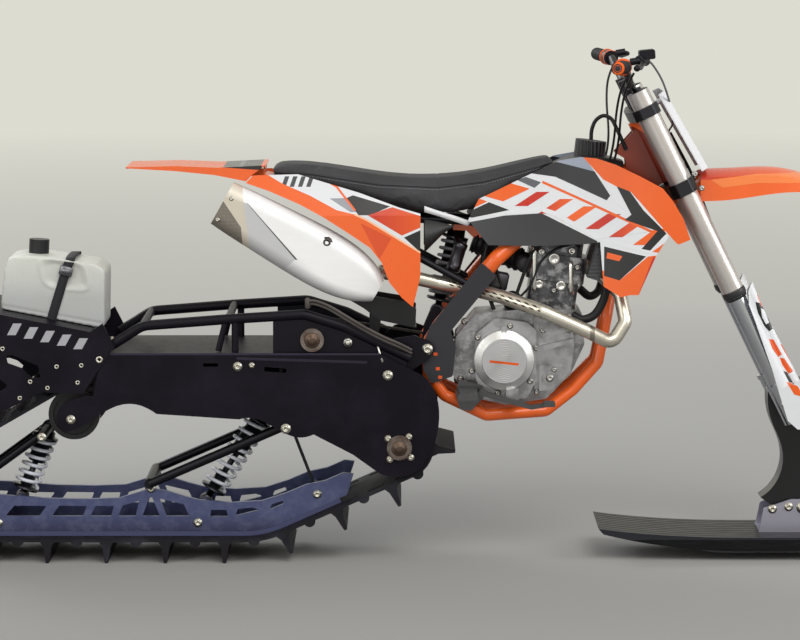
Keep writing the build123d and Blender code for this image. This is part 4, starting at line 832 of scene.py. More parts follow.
def side_film(orange):
    """White side panels with an orange lower half, a faded flash and black wedges."""
    blend = (RED, orange)
    return decorated("side_panel", WHITE, [
        *((srgb(62, 62, 66), shape) for shape in bars(-398, 21, 4, 9, (972, 972), (998, 998), 11)),
        (srgb(150, 152, 158), [(-275, 943), (-235, 944), (-207, 909), (-222, 909)]),
        (BLACK, [(-216, 951), (-121, 923), (-171, 901), (-201, 901), (-235, 943)]),
        (blend, [(-178, 901), (-116, 921), (-4, 886), (-91, 849)]),
        (BLACK, [(-86, 844), (-2, 881), (43, 869), (-26, 839), (-29, 792)]),
        (orange, [(-324, 1012), (-255, 974), (-208, 914), (-212, 911), (-259, 970), (-328, 1010)]),
        (orange, [(-640, 1090), (-460, 1018), (-398, 981), (-325, 950), (-257, 914), (-211, 903), (-179, 888),
                  (-20, 790), (-20, 560), (-640, 560)]),
        (srgb(250, 190, 150), [(-211, 906), (-179, 891), (-20, 793), (-20, 788), (-180, 886), (-212, 901)]),
        (DEEP_ORANGE, [(-196, 880), (-118, 842), (-148, 790)]),
    ], relief=[([(-196, 880), (-118, 842), (-148, 790)], -0.0015)])


def rear_fender_film(orange):
    """An orange rear fender with a black patch at the seat's end."""
    return decorated("rear_fender", orange, [
        (BLACK, [(-564, 1036), (-455, 1030), (-440, 1012), (-552, 1020)]),
        (GREY, [(-540, 1029), (-500, 1027), (-496, 1021), (-536, 1023)]),
    ])


def front_fender_film(orange):
    """An orange front fender with painted shade in deep red along its top, a painted highlight as a light edge below
    it and painted pale grey shading at its nose.
    """
    return decorated("front_fender", orange, [
        # Painted shade: deep red running into orange along the top of the fender.
        ((srgb(196, 38, 20), orange), [(640, 1030), (944, 1030), (944, 1002), (819, 1001), (700, 986), (640, 986)]),
        # Painted highlight: a lighter orange band below the painted shade.
        (srgb(240, 128, 62), [(700, 986), (819, 1001), (944, 1002), (1060, 975), (944, 978), (819, 978), (730, 966)]),
        # Painted shading: a pale grey patch near the fender's nose.
        (srgb(196, 190, 182), [(1010, 955), (1075, 948), (1120, 925), (1050, 935)]),
    ])


def fork_guard_film(orange):
    """White fork guards with a black hook and orange slants."""
    return decorated("fork_guard", WHITE, [
        (BLACK, [(814, 676), (830, 672), (846, 644), (860, 606), (850, 600), (836, 616), (820, 648)]),
        (WHITE, [(828, 660), (838, 654), (850, 622), (842, 618), (832, 636)]),
        (orange, [(818, 692), (832, 694), (842, 668), (830, 664)]),
        (SLANT, [(848, 582), (862, 578), (884, 540), (874, 534), (858, 556)]),
        (SLANT, [(878, 532), (890, 530), (914, 496), (902, 490), (884, 514)]),
        (SLANT, [(880, 566), (886, 564), (942, 476), (936, 472)]),
        (BLACK, [(886, 500), (898, 494), (914, 466), (902, 470)]),
        (orange, [(894, 472), (922, 462), (940, 432), (914, 440)]),
    ])


def frame_guard_film():
    """Dark frame guards with three small squares."""
    return decorated("frame_guard", srgb(46, 46, 50), [
        *((SLANT, [(x - 5, z - 4), (x + 5, z - 4), (x + 5, z + 4), (x - 5, z + 4)])
          for x, z in ((-5, 542), (1, 504), (7, 482))),
    ], 0.55, 0.0, shine=0.3)


class BIKE_OT_bodywork(bpy.types.Operator):
    """Finishes and plain graphics of the bodywork"""
    bl_idname = "bike.bodywork"
    bl_label = "Bodywork"

    def execute(self, context):
        orange = tuple(context.scene.bike_colours.plastic)
        dress(shroud_film(orange), "shrouds")
        dress(side_film(orange), "side_panels")
        dress(rear_fender_film(orange), "rear_fender")
        dress(front_fender_film(orange), "front_fender")
        dress(decorated("number_plate", WHITE, [], dull=[PLATE_FACE]), "number_plate")
        dress(fork_guard_film(orange), "fork_guards")
        dress(frame_guard_film(), "frame_guards")

        tips, wedges = [], []
        for side in (-1, 1):
            tips.append(bent_plate([(-34, 921), (0, 909), (44, 895), (86, 880)],
                                   [(-34, 905), (0, 895), (44, 880), (78, 868)],
                                   (side * 99, side * 96, side * 92, side * 88)))
            wedges.append(bent_plate([(-34, 886), (-2, 881), (24, 874), (43, 868)],
                                     [(-34, 800), (-12, 822), (16, 850), (42, 866)],
                                     (side * 98, side * 95, side * 92, side * 90)))
        film = decorated("panel_tip", WHITE, [])
        put("panel_tips", *joined(*tips), "chassis", "plastic_white", film)
        put("panel_wedges", *joined(*wedges), "chassis", "plastic_black", moulded("wedge_black", BLACK, 0.4, 0.1))
        return {"FINISHED"}


def can_relief(place):
    """How far each point of the can's skin is pushed in along Y.

    Each flat side has a recess for the hand, a leaning rounded oblong. A point's reach is the fourth
    root of the sum of the fourth powers of its two distances from the middle, each as a share of
    the half size. The push is one over one plus an exponential of the reach past the edge, less a
    bell round the edge for a low rim, and a thin bell along a line below it makes a seam.
    """
    x, y, z = place.T
    u = np.abs((x + 0.958) + (z - 0.742) * 0.18) / 0.056
    v = np.abs((z - 0.742) + (x + 0.958) * 0.12) / 0.036
    reach = (u ** 4 + v ** 4) ** 0.25
    recess = 0.006 / (1 + np.exp((reach - 0.82) * 22))
    rim = 0.0022 * np.exp(-((reach - 1.04) / 0.07) ** 2)
    seam = 0.0018 * np.exp(-((z - 0.640 + (x + 1.0) * 0.18) / 0.003) ** 2)
    flat = np.clip((np.abs(y) - 0.070) / 0.008, 0, 1)
    return np.sign(y) * flat * (recess - rim + seam)


class BIKE_OT_can(bpy.types.Operator):
    """Fuel can with its recess and strap"""
    bl_idname = "bike.can"
    bl_label = "Fuel can"

    def execute(self, context):
        can = Finish("can", srgb(206, 209, 200), 0.42, 0, 0.1)
        _, _, z = can.axes()
        # Painted light and shade: the can is lighter towards its top and darker towards its bottom.
        step = can.ramp((z - 0.68) * 9.0, (0.0, 0.0), (0.4, 0.5), (1.0, 1.0))
        tone = can.mix(srgb(186, 188, 186), srgb(218, 220, 210), step)
        cloud = can.ramp(can.noise(7, 4), (0.35, 0.0), (0.7, 1.0))
        can.set("Base Color", can.mix(tone, srgb(172, 170, 156), cloud * 0.35))
        can.set("Roughness", can.noise(30, 4) * 0.2 + 0.34)
        can.bump(can.noise(240, 3), 0.0003)
        jug = remeshed(context, "jug", "fuel_can", 0.004, 12)
        place = np.array([v.co for v in jug.data.vertices])
        place[:, 1] -= can_relief(place)
        jug.data.vertices.foreach_set("co", place.ravel())
        jug.data.update()
        jug.data.materials.append(can.material)
        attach(jug, "chassis")
        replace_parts(jug, "fuel_can")

        half = np.array([(-0.994, 0.0845, 0.622), (-0.984, 0.0858, 0.655), (-0.966, 0.0860, 0.712),
                         (-0.955, 0.0856, 0.748), (-0.951, 0.0835, 0.762), (-0.944, 0.0825, 0.776),
                         (-0.942, 0.074, 0.7845), (-0.942, 0.040, 0.7862)])
        whole = np.vstack([half * MIRROR, (-0.942, 0, 0.787), half[::-1]])
        strap = band(curve_through(whole, 120), 0.024, 0.0022)
        webbing = woven("can_webbing", srgb(20, 20, 26))
        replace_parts(put("can_strap", *strap, "chassis", "webbing", webbing), "fuel_can_strap")
        return {"FINISHED"}


class BIKE_OT_exhaust(bpy.types.Operator):
    """Finishes of the silencer and header pipe"""
    bl_idname = "bike.exhaust"
    bl_label = "Exhaust"

    def execute(self, context):
        skin = Finish("silencer", srgb(232, 232, 230), 0.34, 0.15)
        x, _, z = skin.axes()
        cap = skin.beyond((-478, 800), (-500, 1000))
        textured = skin.patch([(-640, 1010), (-560, 960), (-500, 870), (-490, 700), (-640, 700)])
        # Painted shade: the silencer's lower facet is painted darker grey.
        shade = skin.patch([(-484, 932), (-360, 790), (-420, 740), (-640, 760), (-640, 980)])
        # Painted shade: a dark line along the crease, which is also sunk in relief.
        crease = skin.patch([(-486, 934), (-481, 930), (-357, 788), (-362, 788)])
        streak = skin.noise(18, 5, 0.6, skin.node("ShaderNodeMapping", {}, skin.place, Scale=(1, 1, 6)))
        colour = skin.mix(srgb(246, 246, 244), srgb(226, 226, 225), streak * 0.5)
        # Painted shade: a soft darkening towards the silencer's bottom edge.
        bottom_shade = skin.ramp((z + x * 0.918 - 0.474) * -14.0, (0.0, 0.0), (1.0, 1.0))
        colour = skin.mix(colour, srgb(150, 150, 152), (shade | bottom_shade) * 0.6)
        colour = skin.mix(colour, srgb(208, 196, 172), cap * 0.75)
        colour = skin.mix(colour, srgb(92, 86, 78), textured * 0.8)
        colour = skin.mix(colour, srgb(60, 58, 56), crease)
        skin.set("Base Color", colour)
        skin.set("Roughness", streak * 0.2 + 0.34 + textured * 0.2)
        weave = ((x + z) * 900).math("SINE") * ((x - z) * 900).math("SINE")
        skin.bump(crease * -1.0, 0.002, after=skin.bump(weave * textured, 0.0005, after=skin.bump(streak, 0.0001)))
        dress(skin.material, "muffler")

        pipe = Finish("pipe", srgb(206, 200, 188), 0.3, 0.8)
        x, y, z = pipe.axes()
        slope = z + x * 0.262
        dash = ((x * 420 + z * 420).math("SINE") > 0.0)
        rows = (abs(slope - 0.7335) < 0.0022) | (abs(slope - 0.7245) < 0.0022)
        guard = rows * dash * (x < 0.262) * (x > 0.03) * (y < -0.06)
        band = (abs(x - 0.395) < 0.006) | (abs(x - 0.108) < 0.006)
        heat = pipe.ramp(pipe.noise(12, 4), (0.3, 0.0), (0.7, 1.0))
        tint = pipe.mix(srgb(218, 213, 200), srgb(164, 154, 138), heat * 0.6)
        pipe.set("Base Color", pipe.mix(tint, srgb(70, 62, 54), guard | band * 0.6))
        pipe.set("Roughness", pipe.noise(60, 3) * 0.2 + 0.2)
        pipe.bump(guard * -1.0 + band, 0.0015)
        dress(pipe.material, "header_pipe")
        return {"FINISHED"}


class BIKE_OT_kit(bpy.types.Operator):
    """Finishes of the track kit"""
    bl_idname = "bike.kit"
    bl_label = "Track kit"

    def execute(self, context):
        colours = context.scene.bike_colours
        paint = tuple(colours.kit_paint)
        finish, colour, spray = kit_plate("kit_plate", paint)
        # Painted highlights: lighter bands along the roof's bent flange (upper) and its top edge (lip); the flange and
        # the lower fold are also raised in relief.
        upper = finish.patch([(-512, 541), (-180, 531), (-180, 524), (-512, 534)])
        lower = finish.patch([(-361, 491), (-195, 491), (-195, 486), (-361, 486)])
        lip_highlight = finish.patch([(-835, 551), (-150, 551), (-150, 546), (-835, 546)])
        finish.set("Base Color", finish.mix(colour, srgb(70, 66, 82), lip_highlight * 0.5 + upper * 0.35))
        finish.bump(upper + lower, 0.002, after=spray)
        dress(finish.material, "tunnel_sides")

        rack, colour, _ = kit_plate("rack_plate", paint)
        stripe = None
        for shape in bars(-1096, 42, 5, 16, (598, 562), (628, 590), 22):
            mark = rack.patch(shape)
            stripe = mark if stripe is None else stripe | mark
        rack.set("Base Color", rack.mix(colour, srgb(168, 168, 172), stripe))
        dress(rack.material, "rear_rack")

        rail = Finish("rail", tuple(colours.rail), 0.36, 0.35, 0.1, 0.2, 0.35)
        scuff = rail.ramp(rail.noise(34, 6, 0.7), (0.45, 0.0), (0.7, 1.0))
        _, _, z = rail.axes()
        # Painted shade: the rails are painted darker towards their bottom.
        low = rail.ramp(z * 5.0, (0.35, 1.0), (0.62, 0.0))
        tone = rail.mix(tuple(colours.rail), srgb(48, 48, 74), low * 0.85)
        rail.set("Base Color", rail.mix(tone, srgb(122, 128, 152), scuff * 0.3))
        rail.set("Roughness", scuff * 0.2 + 0.3)
        rail.bump(rail.noise(200, 3), 0.0002)
        dress(rail.material, "skid_rails")

        track = Finish("track_rubber", srgb(24, 22, 28), 0.72, shine=0.2)
        _, y, _ = track.axes()
        rib = (y * 420).math("SINE") ** 4
        snow = track.ramp(track.noise(11, 6, 0.65), (0.5, 0.0), (0.78, 1.0))
        track.set("Base Color", track.mix(srgb(24, 22, 28), srgb(78, 78, 88), snow * 0.35))
        track.set("Roughness", snow * 0.15 + 0.6)
        track.bump(rib, 0.0016, after=track.bump(track.noise(180, 3), 0.0005))
        dress(track.material, "track")

        ring = Finish("bearing_ring", srgb(120, 108, 100), 0.35, 0.9)
        grime = ring.ramp(ring.noise(40, 5), (0.4, 0.0), (0.7, 1.0))
        ring.set("Base Color", ring.mix(srgb(128, 118, 112), srgb(72, 52, 42), grime * 0.7))
        ring.set("Roughness", grime * 0.3 + 0.3)
        ring.bump(ring.noise(300, 3), 0.0003)
        dress(ring.material, "bearing_caps")
        return {"FINISHED"}


class BIKE_OT_ski(bpy.types.Operator):
    """Finish of the ski"""
    bl_idname = "bike.ski"
    bl_label = "Ski"

    def execute(self, context):
        ski = Finish("ski_plastic", srgb(14, 14, 16), 0.36, 0, 0.0, shine=0.2)
        _, y, z = ski.axes()
        edge = (abs(y) > 0.112) * (z > 0.056)
        scratch = ski.noise(30, 5, 0.6, ski.node("ShaderNodeMapping", {}, ski.place, Scale=(0.6, 6, 6)))
        mark = ski.ramp(scratch, (0.5, 0.0), (0.72, 1.0))
        colour = ski.mix(srgb(9, 9, 11), srgb(40, 40, 44), mark * 0.3)
        ski.set("Base Color", ski.mix(colour, srgb(70, 72, 80), edge * 0.3))
        ski.set("Roughness", mark * 0.2 + 0.38)
        ribs = (y * 260).math("SINE")
        ski.bump(ribs * (abs(y) < 0.1), 0.0008, after=ski.bump(ski.noise(260, 3), 0.0002))
        dress(ski.material, "ski")
        return {"FINISHED"}


class BIKE_OT_engine(bpy.types.Operator):
    """Engine covers, cooling fins and the radiators' cores"""
    bl_idname = "bike.engine"
    bl_label = "Engine"

    def execute(self, context):
        cover = Finish("engine_cover", srgb(120, 120, 124), 0.4, 0.85)
        x, y, z = cover.axes()
        reach = ((x - 0.171) ** 2 + (z - 0.527) ** 2).math("SQRT")
        ring = (reach > 0.058) * (reach < 0.076) * (y < -0.12)
        disc = (reach < 0.057) * (y < -0.145)
        mark = cover.patch([(132, 524), (206, 516), (208, 522), (134, 530)]) * disc
        stain = cover.ramp(cover.noise(24, 6), (0.4, 0.0), (0.65, 1.0))
        colour = cover.mix(srgb(176, 176, 178), srgb(92, 90, 90), stain * 0.6)
        colour = cover.mix(colour, srgb(222, 221, 219), ring * 0.85)
        colour = cover.mix(colour, srgb(186, 186, 188), disc)
        cover.set("Base Color", cover.mix(colour, ORANGE, mark))
        cover.set("Roughness", stain * 0.25 + 0.28)
        grooves = (reach * 1400).math("SINE") * disc
        cover.bump(grooves, 0.0002, after=cover.bump(cover.noise(380, 3), 0.0004))
        dress(cover.material, "engine_covers")

        core = Finish("radiator_core", srgb(96, 98, 102), 0.45, 0.8)
        _, _, z = core.axes()
        fins = (z * 1800).math("SINE")
        core.set("Base Color", core.mix(srgb(38, 38, 42), srgb(130, 132, 136), fins * 0.5 + 0.5))
        core.set("Roughness", core.noise(60, 3) * 0.2 + 0.35)
        core.bump(fins, 0.001)
        dress(core.material, "radiators")

        cap = Finish("tank_cap", srgb(30, 30, 33), 0.4)
        x, y, _ = cap.axes()
        knurl = (y.math("ARCTAN2", x - 0.394) * 24).math("SINE")
        cap.set("Base Color", cap.mix(srgb(26, 26, 29), srgb(60, 60, 64), knurl * 0.3 + 0.3))
        cap.set("Roughness", cap.noise(60, 3) * 0.2 + 0.35)
        cap.bump(knurl, 0.002)
        dress(cap.material, "tank_cap")

        steel = machined("cover_bolt", srgb(190, 188, 184), 0.3)
        spots = []
        for angle in np.radians(np.arange(6) * 60 + 20):
            spots.append((171 + 88 * cos(angle), -112, 527 + 88 * sin(angle), 5.5, 6))
        spots += [(262, -94, 640, 5, 6), (340, -94, 636, 5, 6), (256, -94, 440, 5, 6), (270, -106, 600, 4.5, 5),
                  (338, -106, 600, 4.5, 5), (338, -106, 634, 4.5, 5), (300, -108, 500, 5, 6),
                  (60, -70, 470, 6, 7), (70, -70, 620, 6, 7), (250, -69, 820, 6, 7),
                  (360, -69, 760, 6, 7), (300, -69, 700, 5, 6), (289, -116, 479, 7, 5)]
        put("engine_bolts", *bolts(spots), "chassis", "steel_bright", steel)
        return {"FINISHED"}


class BIKE_OT_intake(bpy.types.Operator):
    """Intake boot, throttle body, starter, pipes and hoses round the cylinder"""
    bl_idname = "bike.intake"
    bl_label = "Intake and hoses"

    def execute(self, context):
        rubber = rubbery("intake_rubber", srgb(20, 20, 22), 0.5)
        dark = cast("throttle_alloy", srgb(70, 70, 74), 0.4)
        bright = machined("pipe_steel", srgb(214, 212, 208), 0.22)
        boot = curve_through([(0.214, 0, 0.772), (0.188, 0, 0.782), (0.150, 0, 0.800), (0.112, 0, 0.815),
                              (0.092, 0, 0.822)], 48)
        ribs = 0.030 + 0.0022 * np.sin(np.linspace(0, 14 * pi, 48))
        leads = [tube(curve_through(np.array(line) / 1000, 70), radius / 1000, 10) for radius, line in (
            (4.5, [(366, -64, 812), (330, -72, 836), (270, -74, 828), (236, -76, 780), (214, -74, 720),
                   (196, -74, 668)]),
            (3.2, [(352, -60, 820), (300, -78, 806), (262, -80, 770), (240, -80, 716), (205, -78, 676)]),
            (5.0, [(150, -40, 850), (128, -52, 810), (118, -58, 750), (128, -64, 700), (146, -72, 650)]),
            (3.5, [(180, -44, 860), (160, -60, 820), (152, -64, 760), (170, -70, 700), (182, -74, 660)]),
            (5.0, [(150, 40, 850), (128, 52, 810), (118, 58, 750), (128, 64, 700), (146, 72, 650)]))]
        put("intake_boot", *joined(tube(boot, ribs, 28), *leads), "chassis", "hose_rubber", rubber)
        throat = turned([(0.022, 0.0), (0.028, 0.001), (0.028, 0.012), (0.025, 0.013), (0.025, 0.034), (0.030, 0.035),
                         (0.030, 0.044), (0.022, 0.045)], 32)
        wheel = turned([(0.006, -0.006), (0.022, -0.005), (0.024, -0.002), (0.020, 0.0), (0.024, 0.002),
                        (0.022, 0.005), (0.006, 0.006)], 28)
        starter = turned([(0.012, -0.004), (0.012, 0.0), (0.021, 0.001), (0.023, 0.004), (0.023, 0.050),
                          (0.026, 0.051), (0.026, 0.062), (0.018, 0.066)], 28)
        case = block((0.050, 0.030, 0.046), 0.005)
        parts = [many(*shape, [(np.array(place), axes)]) for shape, place, axes in (
            (throat, (0.250, 0, 0.758), facing((-0.93, 0, 0.36))),
            (wheel, (0.226, -0.040, 0.766), facing((0, -1, 0))),
            (starter, (0.196, -0.052, 0.664), facing((0, 1, 0))),
            (case, (0.158, -0.050, 0.724), facing((0.2, 0, 1), (0, 1, 0))))]
        put("throttle_body", *joined(*parts), "chassis", "head_grey", dark)
        pipes = []
        for x, low, high in ((249, 700, 806), (343, 692, 764)):
            path = curve_through(np.array([(x - 4, -60, high + 14), (x, -72, high), (x, -76, (low + high) / 2),
                                           (x, -74, low + 10), (x + 4, -64, low)]) / 1000, 40)
            pipes.append(tube(path, 0.0065, 14))
        for x, z, r in ((262, 716, 11), (318, 712, 13), (300, 782, 15), (346, 802, 9), (268, 800, 8)):
            plug = turned([(r * 0.9, -0.2), (r, 0.6), (r, 3), (r * 0.85, 4.2), (r * 0.5, 4.4), (r * 0.45, 3.4)], 24)
            pipes.append(many(*plug, [(np.array([x, -69, z]) / 1000, facing((0, -1, 0)) / 1000)]))
        put("cylinder_pipes", *joined(*pipes), "chassis", "steel_bright", bright)
        right = [(436, -86, 716), (426, -88, 676), (404, -92, 640), (372, -96, 628), (346, -96, 640)]
        left = [(436, 86, 716), (424, 84, 680), (400, 74, 668), (372, 66, 690)]
        hoses = [tube(curve_through(np.array(line) / 1000, 50), 0.011, 16) for line in (right, left)]
        put("coolant_hoses", *joined(*hoses), "chassis", "hose_rubber", rubber)
        return {"FINISHED"}


class BIKE_OT_bolts(bpy.types.Operator):
    """Bolts and washers"""
    bl_idname = "bike.bolts"
    bl_label = "Bolts"

    def execute(self, context):
        bright = machined("bolt_steel", srgb(206, 202, 190), 0.3)
        kit = [(-862, -170, 535, 9, 7), (-971, -170, 517, 6, 6), (-908, -170, 520, 6, 6), (-995, -170, 462, 6, 6),
               (-1039, -170, 478, 6, 6), (-1066, -170, 436, 6, 6), (-918, -170, 476, 6, 6), (-1108, -170, 563, 6, 6),
               (-937, -170, 380, 8, 8), (-127, -170, 494, 9, 8), (-510, -170, 517, 8, 7), (-474, -170, 520, 5, 5),
               (-388, -170, 356, 9, 8), (-1012, -170, 334, 8, 7)]
        kit += [(DRIVER[0] * 1000 + 38 * cos(a), -175, DRIVER[1] * 1000 + 38 * sin(a), 5.5, 6)
                for a in np.radians(50 + 90 * np.arange(4))]
        rail = [(-740, -101, 188, 8, 6), (-1136, -101, 97, 8, 6), (-619, -101, 98, 8, 6), (-310, -101, 173, 8, 6)]
        put("kit_bolts", *bolts(both(kit + rail)), "chassis", "steel_bright", bright)
        body = [(-524, -144, 944, 4, 3), (-560, -144, 890, 4, 3), (-26, -136, 556, 10, 8)]
        put("body_bolts", *bolts(body), "chassis", "steel_bright", bright)
        dark = machined("dark_bolt", srgb(84, 80, 76), 0.4)
        put("silencer_bolt", *bolts([(-282, -143, 832, 10, 4)]), "chassis", "steel_dark", dark)
        saddle = [(874, -50, 124, 8, 7), (916, -50, 130, 8, 7), (1030, -50, 124, 8, 7), (988, -50, 130, 8, 7),
                  (952, -50, 128, 11, 9)]
        put("ski_bolts", *bolts(both(saddle)), "ski", "steel_bright", bright)
        return {"FINISHED"}


def coil_over(low, high, turns=8, coil=0.030, wire=0.0048):
    """A damper between two cross pins in millimetres: the wire's helix, and the rod, seats and body."""
    low, high = np.array(low, float) / 1000, np.array(high, float) / 1000
    reach = np.linalg.norm(high - low)
    axis = (high - low) / reach
    seat, top = reach * 0.12, reach * 0.84
    spring = helix(low + axis * (seat + 0.009), low + axis * (top - 0.003), coil, wire, turns)
    profile = [(0.006, 0.006), (0.009, 0.008), (0.009, reach * 0.11), (0.034, seat), (0.035, seat + 0.005),
               (0.0165, seat + 0.006), (0.0165, reach * 0.3), (0.008, reach * 0.31), (0.008, reach * 0.5),
               (0.021, reach * 0.51), (0.022, reach * 0.83), (0.034, top), (0.035, top + 0.006),
               (0.024, top + 0.007), (0.022, reach - 0.012), (0.010, reach - 0.008)]
    eye = turned([(0.008, -0.014), (0.017, -0.0135), (0.018, -0.012), (0.018, 0.012), (0.017, 0.0135),
                  (0.008, 0.014)], 24)
    body = many(*turned(profile, 28), [(low, facing(axis, (0, 1, 0)))])
    return spring, joined(body, many(*eye, [(pin, facing((0, -1, 0))) for pin in (low, high)]))


class BIKE_OT_springs(bpy.types.Operator):
    """Coil springs and damper bodies"""
    bl_idname = "bike.springs"
    bl_label = "Springs"

    def execute(self, context):
        white = painted("spring_paint", srgb(236, 238, 246), 0.3, 0.3)
        body = machined("damper_body", srgb(70, 70, 76), 0.3)
        front = coil_over((-606, 0, 138), (-440, 0, 388))
        rear = coil_over((-1086, 0, 149), (-1012, 0, 334), 6)
        main = coil_over((0, 0, 640), (55, 0, 864))
        low, high = np.array([0.0392, -0.062, 0.7495]), np.array([0.0628, -0.062, 0.8245])
        tank = turned([(0.014, 0.0), (0.018, 0.003), (0.018, 0.018), (0.0172, 0.019), (0.0172, 0.062),
                       (0.018, 0.063), (0.018, 0.074), (0.013, 0.078)], 28)
        bridge = curve_through([(0.0520, -0.062, 0.812), (0.0500, -0.034, 0.829), (0.0470, 0, 0.832)], 16)
        bridge = tube(bridge, 0.008, 12)
        tank = many(*tank, [(low, facing(high - low, (0, 1, 0)))])
        grey = painted("damper_spring", srgb(96, 96, 100), 0.35, 0.3)
        put("damper_spring", *main[0], "chassis", "steel_dark", grey)
        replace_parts(put("damper_body", *joined(main[1], tank, bridge), "chassis", "steel_dark", body), "rear_damper")
        put("track_springs", *joined(front[0], rear[0]), "chassis", "spring_white", white)
        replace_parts(put("track_dampers", *joined(front[1], rear[1]), "chassis", "steel_dark", body), "track_shocks")
        return {"FINISHED"}


SPROCKET_RADIUS, CHAIN_PITCH, CHAIN_Y = 0.0317, 0.015875, 0.0625


def chain_line(lengths):
    """Points of the chain's loop at lengths along it: two straight runs joined by two half circles."""
    straight, turn = np.linalg.norm(JACKSHAFT - SPROCKET), pi * SPROCKET_RADIUS
    along = (JACKSHAFT - SPROCKET) / straight
    side = np.array([-along[1], along[0]]) * SPROCKET_RADIUS
    s = np.mod(lengths, 2 * straight + 2 * turn)[:, None]
    rear, front = (s - straight) / SPROCKET_RADIUS, (s - 2 * straight - turn) / SPROCKET_RADIUS
    runs = (SPROCKET - side + along * s,
            JACKSHAFT - side * np.cos(rear) + along * SPROCKET_RADIUS * np.sin(rear),
            JACKSHAFT + side - along * (s - straight - turn),
            SPROCKET + side * np.cos(front) - along * SPROCKET_RADIUS * np.sin(front))
    return np.choose((s > straight).astype(int) + (s > straight + turn) + (s > 2 * straight + turn), runs)


class BIKE_OT_chain(bpy.types.Operator):
    """Drive chain of separate links"""
    bl_idname = "bike.chain"
    bl_label = "Chain"

    def execute(self, context):
        total = 2 * np.linalg.norm(JACKSHAFT - SPROCKET) + 2 * pi * SPROCKET_RADIUS
        count = int(total / CHAIN_PITCH / 2) * 2
        at = np.arange(count) * total / count
        here, there = chain_line(at), chain_line(at + total / count)
        middle, step = (here + there) / 2, there - here
        step = step / np.linalg.norm(step, axis=1)[:, None]
        # A side plate has a round end at each pin and a waist between them.
        pin, rounding, waist, half_thickness = 0.0079, 0.0036, np.array([[0.0, 0.0028]]), 0.0006
        angle = np.radians(np.arange(-90, 91, 45))
        cap = np.stack([pin + rounding * np.cos(angle), rounding * np.sin(angle)], 1)
        rim = np.vstack([cap, waist, -cap, -waist])
        plate = np.vstack([np.column_stack([rim, np.full(len(rim), h)]) for h in (-half_thickness, half_thickness)])
        roller = turned([(0.0032, -0.003), (0.0034, 0.0), (0.0032, 0.003)], 8)
        plates, rollers = [], []
        for k in range(count):
            axes = np.array([[step[k][0], 0, step[k][1]], [-step[k][1], 0, step[k][0]], [0, -1, 0]])
            gap = 0.004 if k % 2 else 0.0027
            for y in (CHAIN_Y + gap, CHAIN_Y - gap):
                plates.append((np.array([middle[k][0], y, middle[k][1]]), axes))
            rollers.append((np.array([here[k][0], CHAIN_Y, here[k][1]]), axes))
        steel = machined("chain_steel", srgb(92, 88, 82), 0.35)
        links = joined(many(plate, capped(2, len(rim)), plates), many(*roller, rollers))
        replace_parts(put("chain_links", *links, "chassis", "steel_dark", steel, smooth=False), "drive_chain")
        return {"FINISHED"}


class BIKE_OT_fittings(bpy.types.Operator):
    """Fittings, hoses and bearing rings of the track kit"""
    bl_idname = "bike.fittings"
    bl_label = "Kit fittings"

    def execute(self, context):
        rubber = rubbery("kit_hose", srgb(78, 72, 68), 0.5)
        bright = machined("kit_fitting", srgb(208, 206, 200), 0.28)
        brown = machined("bearing_centre", srgb(98, 82, 72), 0.4)
        line = np.array([(-335, -151, 668), (-318, -156, 676), (-280, -160, 664), (-237, -167, 640),
                         (-190, -170, 612), (-140, -172, 586), (-96, -168, 566), (-66, -158, 549)]) / 1000
        hoses = [tube(curve_through(line + np.array([0, -out, lift]), 60), 0.0036, 10)
                 for lift, out in ((0.0, 0.0), (0.009, 0.004))]
        hoses.append(many(*block((0.013, 0.022, 0.027), 0.003), [(np.array([-0.3315, -0.151, 0.6765]), np.eye(3))]))
        put("kit_hoses", *joined(*hoses), "chassis", "hose_rubber", rubber)
        knob = turned([(0.012, -0.004), (0.012, 0.006), (0.010, 0.009), (0.006, 0.010), (0.006, 0.014),
                       (0.004, 0.015)], 20)
        knob = many(*knob, [(np.array([-0.229, -0.156, 0.577]), facing((0, -1, 0)))])
        stem = tube(np.array([(-0.156, -0.156, 0.577), (-0.148, -0.160, 0.552), (-0.140, -0.172, 0.528)]), 0.003, 10)
        put("kit_fitting", *joined(knob, stem), "chassis", "steel_bright", bright)
        centre = turned([(0.020, -0.002), (0.020, 0.002), (0.017, 0.004), (0.013, 0.003), (0.012, 0.006),
                         (0.006, 0.007)], 28)
        spots = [(np.array([x, side * out, z]), facing((0, side, 0)))
                 for (x, z), out in ((DRIVER, 0.183), (JACKSHAFT, 0.168)) for side in (-1, 1)]
        put("bearing_centres", *many(*centre, spots), "chassis", "steel_dark", brown)

        lean = np.array([[0.957, 0, -0.290], [0, 1, 0], [0.290, 0, 0.957]])
        buckle = joined(many(*block((0.034, 0.006, 0.026), 0.0025), [(np.array([-0.953, -0.0885, 0.752]), lean)]),
                        many(*block((0.022, 0.004, 0.012), 0.0015), [(np.array([-0.953, -0.0930, 0.752]), lean)]))
        put("strap_buckle", *buckle, "chassis", "steel_dark", machined("buckle", srgb(120, 120, 126), 0.35))
        return {"FINISHED"}


